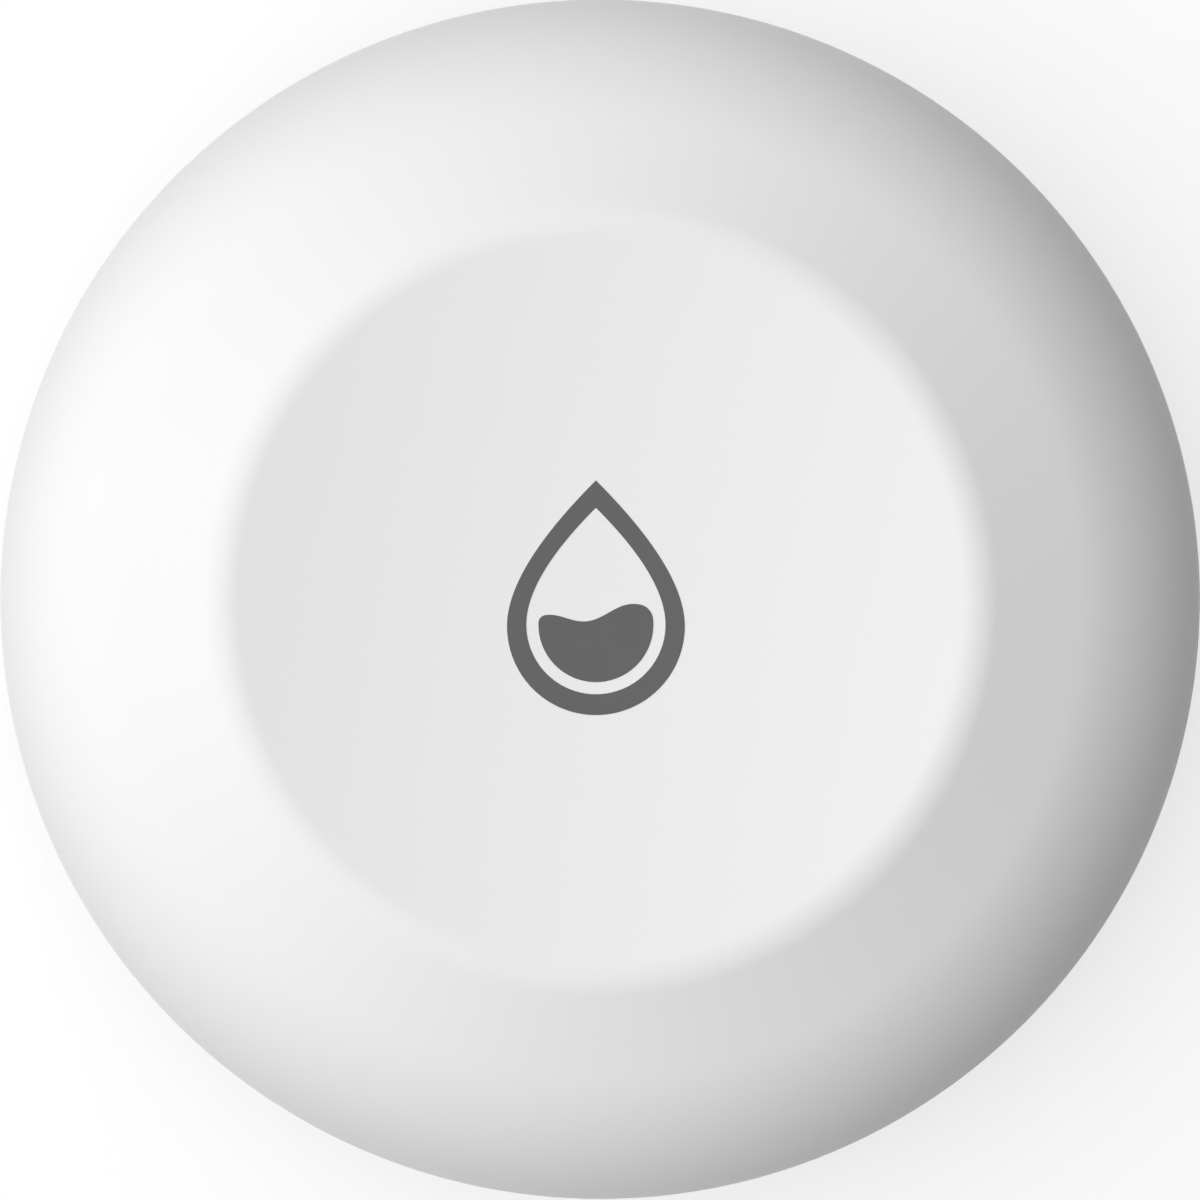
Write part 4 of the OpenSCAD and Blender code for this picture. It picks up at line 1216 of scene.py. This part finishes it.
def clip_shape():
    """Spring clip: two curved walls, a bridge with a window, ribs and two soldered tabs."""
    window, crisp, foot, inner, outer, steps = CELL_R / 3, 0.05, 0.02, 0.2, 0.5, 5
    overlap, tab_corner, tab_edge, solder_l, solder_w = 0.3, 0.4, 0.04, 1.0, 0.9
    rib_l, rib_w, rib_x, rib_y = 6.4, 0.9, 8.2, 3.6
    rib_h, rib_sunk, rib_corner, rib_edge = 0.14, 0.05, 0.44, 0.13
    strap_corner, below, above = 0.1, 1, 2
    in_r = CLIP_R - CLIP_T
    section = [(window, CELL_TOP, crisp), (in_r, CELL_TOP, inner), (in_r, BOARD_TOP, foot),
               (CLIP_R, BOARD_TOP, foot), (CLIP_R, CLIP_TOP, outer), (window, CLIP_TOP, crisp)]
    cup = spun(section, FINE, steps)
    strap = brick(3 * CLIP_R, CLIP_W, BOARD_TOP - below, CELL_TOP + above, strap_corner, 0)
    tab = brick(CLIP_TAB_L + overlap, CLIP_TAB_W, BOARD_TOP, BOARD_TOP + CLIP_T, tab_corner, tab_edge)
    solder = moved(pad(CLIP_TAB_L + solder_l, CLIP_TAB_W + solder_w), at(0, 0, BOARD_TOP))
    tabs = paired(moved(merged(tab, solder), at(CLIP_R + (CLIP_TAB_L - overlap) / 2)))
    rib = brick(rib_l, rib_w, CLIP_TOP - rib_sunk, CLIP_TOP + rib_h, rib_corner, rib_edge)
    return merged(combined(cup, strap, "INTERSECT"), tabs, *in_corners(rib, rib_x, rib_y))


# Assembly

def build_pieces():
    """All new pieces, each on its body."""
    piece("cover_shell", cover_shape(), "top_cover", "cover")
    piece("droplet_outline", droplet_line_shape(), "droplet_line", "cover")
    piece("droplet_fill", droplet_water_shape(), "droplet_water", "cover")
    piece("base_case", base_shape(), "base_shell")
    piece("gasket_ring", gasket_shape(), "rim_gasket")
    piece("screws", around(case_screw_shape(), SCREW_ANGLES), "case_screws")
    screw_ring = soft_ring(SCREW_R + FIT_GAP, HEAD_R, HEAD_Z, SEAT_Z)
    piece("screw_rings", around(screw_ring, SCREW_ANGLES), "screw_seals")
    pin_ring = soft_ring(PIN_R + FIT_GAP, PIN_POCKET_R - FIT_GAP, UNDERSIDE_Z, PIN_POCKET_TOP)
    piece("pin_rings", at_pins(pin_ring), "probe_seals")
    piece("cell_ring", cell_seal_shape(), "cell_seal")
    piece("feet", around(foot_shape(), FOOT_ANGLES), "rubber_feet")
    for angle, side in zip(SCREW_ANGLES, ("right", "rear", "left", "front")):
        piece("pins_" + side, at_pins(pin_shape(), [angle]), "probe_pins_" + side)
    piece("button_key", button_shape(), "power_button", "button")
    ring = piece("button_ring", button_ring_shape(), "button_seal")
    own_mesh(ring)
    piece("guide", guide_shape(), "light_guide")
    piece("board", board_shape(), "circuit_board")
    piece("board_tracks", tracks_shape(), slot="board_laminate", material="mask_over_copper")
    piece("board_vias", vias_shape(), slot="antenna_gold")
    piece("board_pads", component_pads_shape(), slot="tin_plate")
    piece("board_marks", marks_shape(), material="board_ink")
    piece("small_screws", around(board_screw_shape(), BOARD_SCREW_ANGLES), "board_screws")
    piece("cell", cell_shape(), "cell_can")
    piece("clip", clip_shape(), "cell_clip")
    radio_plate = brick(RADIO_L, RADIO_W, 0, RADIO_T, RADIO_CORNER, RADIO_EDGE)
    piece("radio_plate", on_board(radio_plate, *RADIO_AT), "radio_board")
    piece("radio_joints", radio_pads_shape(), slot="tin_plate")
    piece("radio_lid", shield_shape(), "radio_shield")
    piece("radio_aerial", antenna_shape(), "radio_antenna")
    piece("amplifier_body", amplifier_shape(), "amplifier_chip")
    piece("amplifier_legs", amplifier_leads_shape(), "amplifier_leads")
    piece("capacitor_foot", capacitor_base_shape(), "capacitor_base")
    piece("capacitor_drum", capacitor_can_shape(), "capacitor_can")
    piece("capacitor_mark", capacitor_mark_shape(), slot="chip_plastic")
    piece("inductor_block", inductor_shape(), "power_inductor")
    piece("crystal_lid", crystal_shape(), "clock_crystal")
    piece("small_capacitors", chips_shape(CAPACITOR_PLACES, CHIP_W), "chip_capacitors")
    piece("small_resistors", chips_shape(RESISTOR_PLACES, RESISTOR_H), "chip_resistors")
    piece("small_capacitor_ends", chip_ends_shape(CAPACITOR_PLACES, CHIP_W), slot="tin_plate")
    piece("small_resistor_ends", chip_ends_shape(RESISTOR_PLACES, RESISTOR_H), slot="tin_plate")


def dress_cad_nodes():
    """Materials of the CAD nodes that stay."""
    for node, slot in SLOTS.items():
        materials = frame["nodes"][node].data.materials
        materials.clear()
        materials.append(MATERIALS[slot])


# Studio, with lengths in metres

IMAGE_PX = 1200
PHOTO_CENTER = (600.2, 599.25)
PHOTO_R = 599.7
LENS_MM = 1200.0
SENSOR_MM = 36.0
FARTHEST = 20.0
MAIN_AZIMUTH = 168.3
MAIN_ELEVATION = 53.0
MAIN_DISTANCE = 3.0
MAIN_RADIUS = 6.6
MAIN_POWER = 594.0
UNDER_DISTANCE = 2.0
UNDER_RADIUS = 1.4
UNDER_POWER = 18.6
DOME_LIGHT = 0.078
WHITE = (1, 1, 1, 1)
GROUND_HALF = 20.0
GROUND_COLOR = (0.96, 0.96, 0.96, 1)
GROUND_BOUNCE = (0.38, 0.38, 0.38, 1)
GROUND_WHITE = 0.6


def mixed(tree, share, first, second):
    """Mix of two shaders."""
    return output(tree, "MixShader", "Shader", {0: share, 1: first, 2: second})


def seen_rays(tree):
    """One for rays from the camera, also by way of gloss or glass."""
    total = output(tree, "LightPath", "Is Camera Ray")
    for name in ("Is Glossy Ray", "Is Transmission Ray"):
        ray = output(tree, "LightPath", name)
        total = output(tree, "Math", "Value", {0: total, 1: ray}, operation="MAXIMUM")
    return total


def build_camera():
    """Camera straight above, as in the photo."""
    scale = BODY_R / PHOTO_R * MM
    distance = IMAGE_PX * scale * LENS_MM / SENSOR_MM
    data = bpy.data.cameras.new("camera")
    camera = in_scene("camera", set_up(data, lens=LENS_MM, sensor_width=SENSOR_MM, clip_end=FARTHEST))
    camera.location = ((IMAGE_PX / 2 - PHOTO_CENTER[0]) * scale, (PHOTO_CENTER[1] - IMAGE_PX / 2) * scale,
                       BELT_Z * MM + distance)
    bpy.context.scene.camera = camera


def soft_lamp(name, azimuth, elevation, distance, radius, power):
    """Round lamp that shines at the origin and isn't seen itself."""
    direction = turned(azimuth) @ turned(-elevation, "Y") @ Vector((1, 0, 0))
    data = bpy.data.lights.new(name, "AREA")
    lamp = in_scene(name, set_up(data, shape="DISK", size=2 * radius, energy=power))
    lamp.location = direction * distance
    lamp.rotation_euler = direction.to_track_quat("Z", "Y").to_euler()
    lamp.visible_camera = False
    return lamp


def build_lights(ground):
    """Large soft lamp from the upper left, a weak one through the floor, and a weak dome."""
    soft_lamp("key", MAIN_AZIMUTH, MAIN_ELEVATION, MAIN_DISTANCE, MAIN_RADIUS, MAIN_POWER)
    under = soft_lamp("lower", 0, -90, UNDER_DISTANCE, UNDER_RADIUS, UNDER_POWER)
    passed = bpy.data.collections.new("passed")
    passed.objects.link(ground)
    passed.collection_objects[0].light_linking.link_state = "EXCLUDE"
    under.light_linking.blocker_collection = passed
    world = bpy.data.worlds.new("dome")
    world.use_nodes = True
    bpy.context.scene.world = world
    tree = world.node_tree
    dim = output(tree, "Background", "Background", {"Color": WHITE, "Strength": DOME_LIGHT})
    white = output(tree, "Background", "Background", {"Color": WHITE})
    fill(tree, tree.nodes["World Output"], {"Surface": mixed(tree, seen_rays(tree), dim, white)})


def build_floor():
    """Pale floor that shows white, keeps the shadow and isn't seen from below."""
    half = GROUND_HALF
    mesh = bpy.data.meshes.new("floor")
    corners = [(-half, -half, 0), (half, -half, 0), (half, half, 0), (-half, half, 0)]
    mesh.from_pydata(corners, [], [(0, 1, 2, 3)])
    ground = in_scene("floor", mesh)
    material, tree, _place = new_material("floor", {})
    matt = output(tree, "BsdfDiffuse", "BSDF", {"Color": GROUND_COLOR})
    bounce = output(tree, "BsdfDiffuse", "BSDF", {"Color": GROUND_BOUNCE})
    through = output(tree, "BsdfTransparent", "BSDF")
    from_below = output(tree, "NewGeometry", "Backfacing")
    shown = mixed(tree, GROUND_WHITE, matt, output(tree, "Emission", "Emission"))
    lit = mixed(tree, seen_rays(tree), bounce, shown)
    fill(tree, tree.nodes["Material Output"], {"Surface": mixed(tree, from_below, lit, through)})
    mesh.materials.append(material)
    return ground


build_pieces()
dress_cad_nodes()
build_camera()
build_lights(build_floor())
bpy.context.scene.view_settings.view_transform = "Standard"
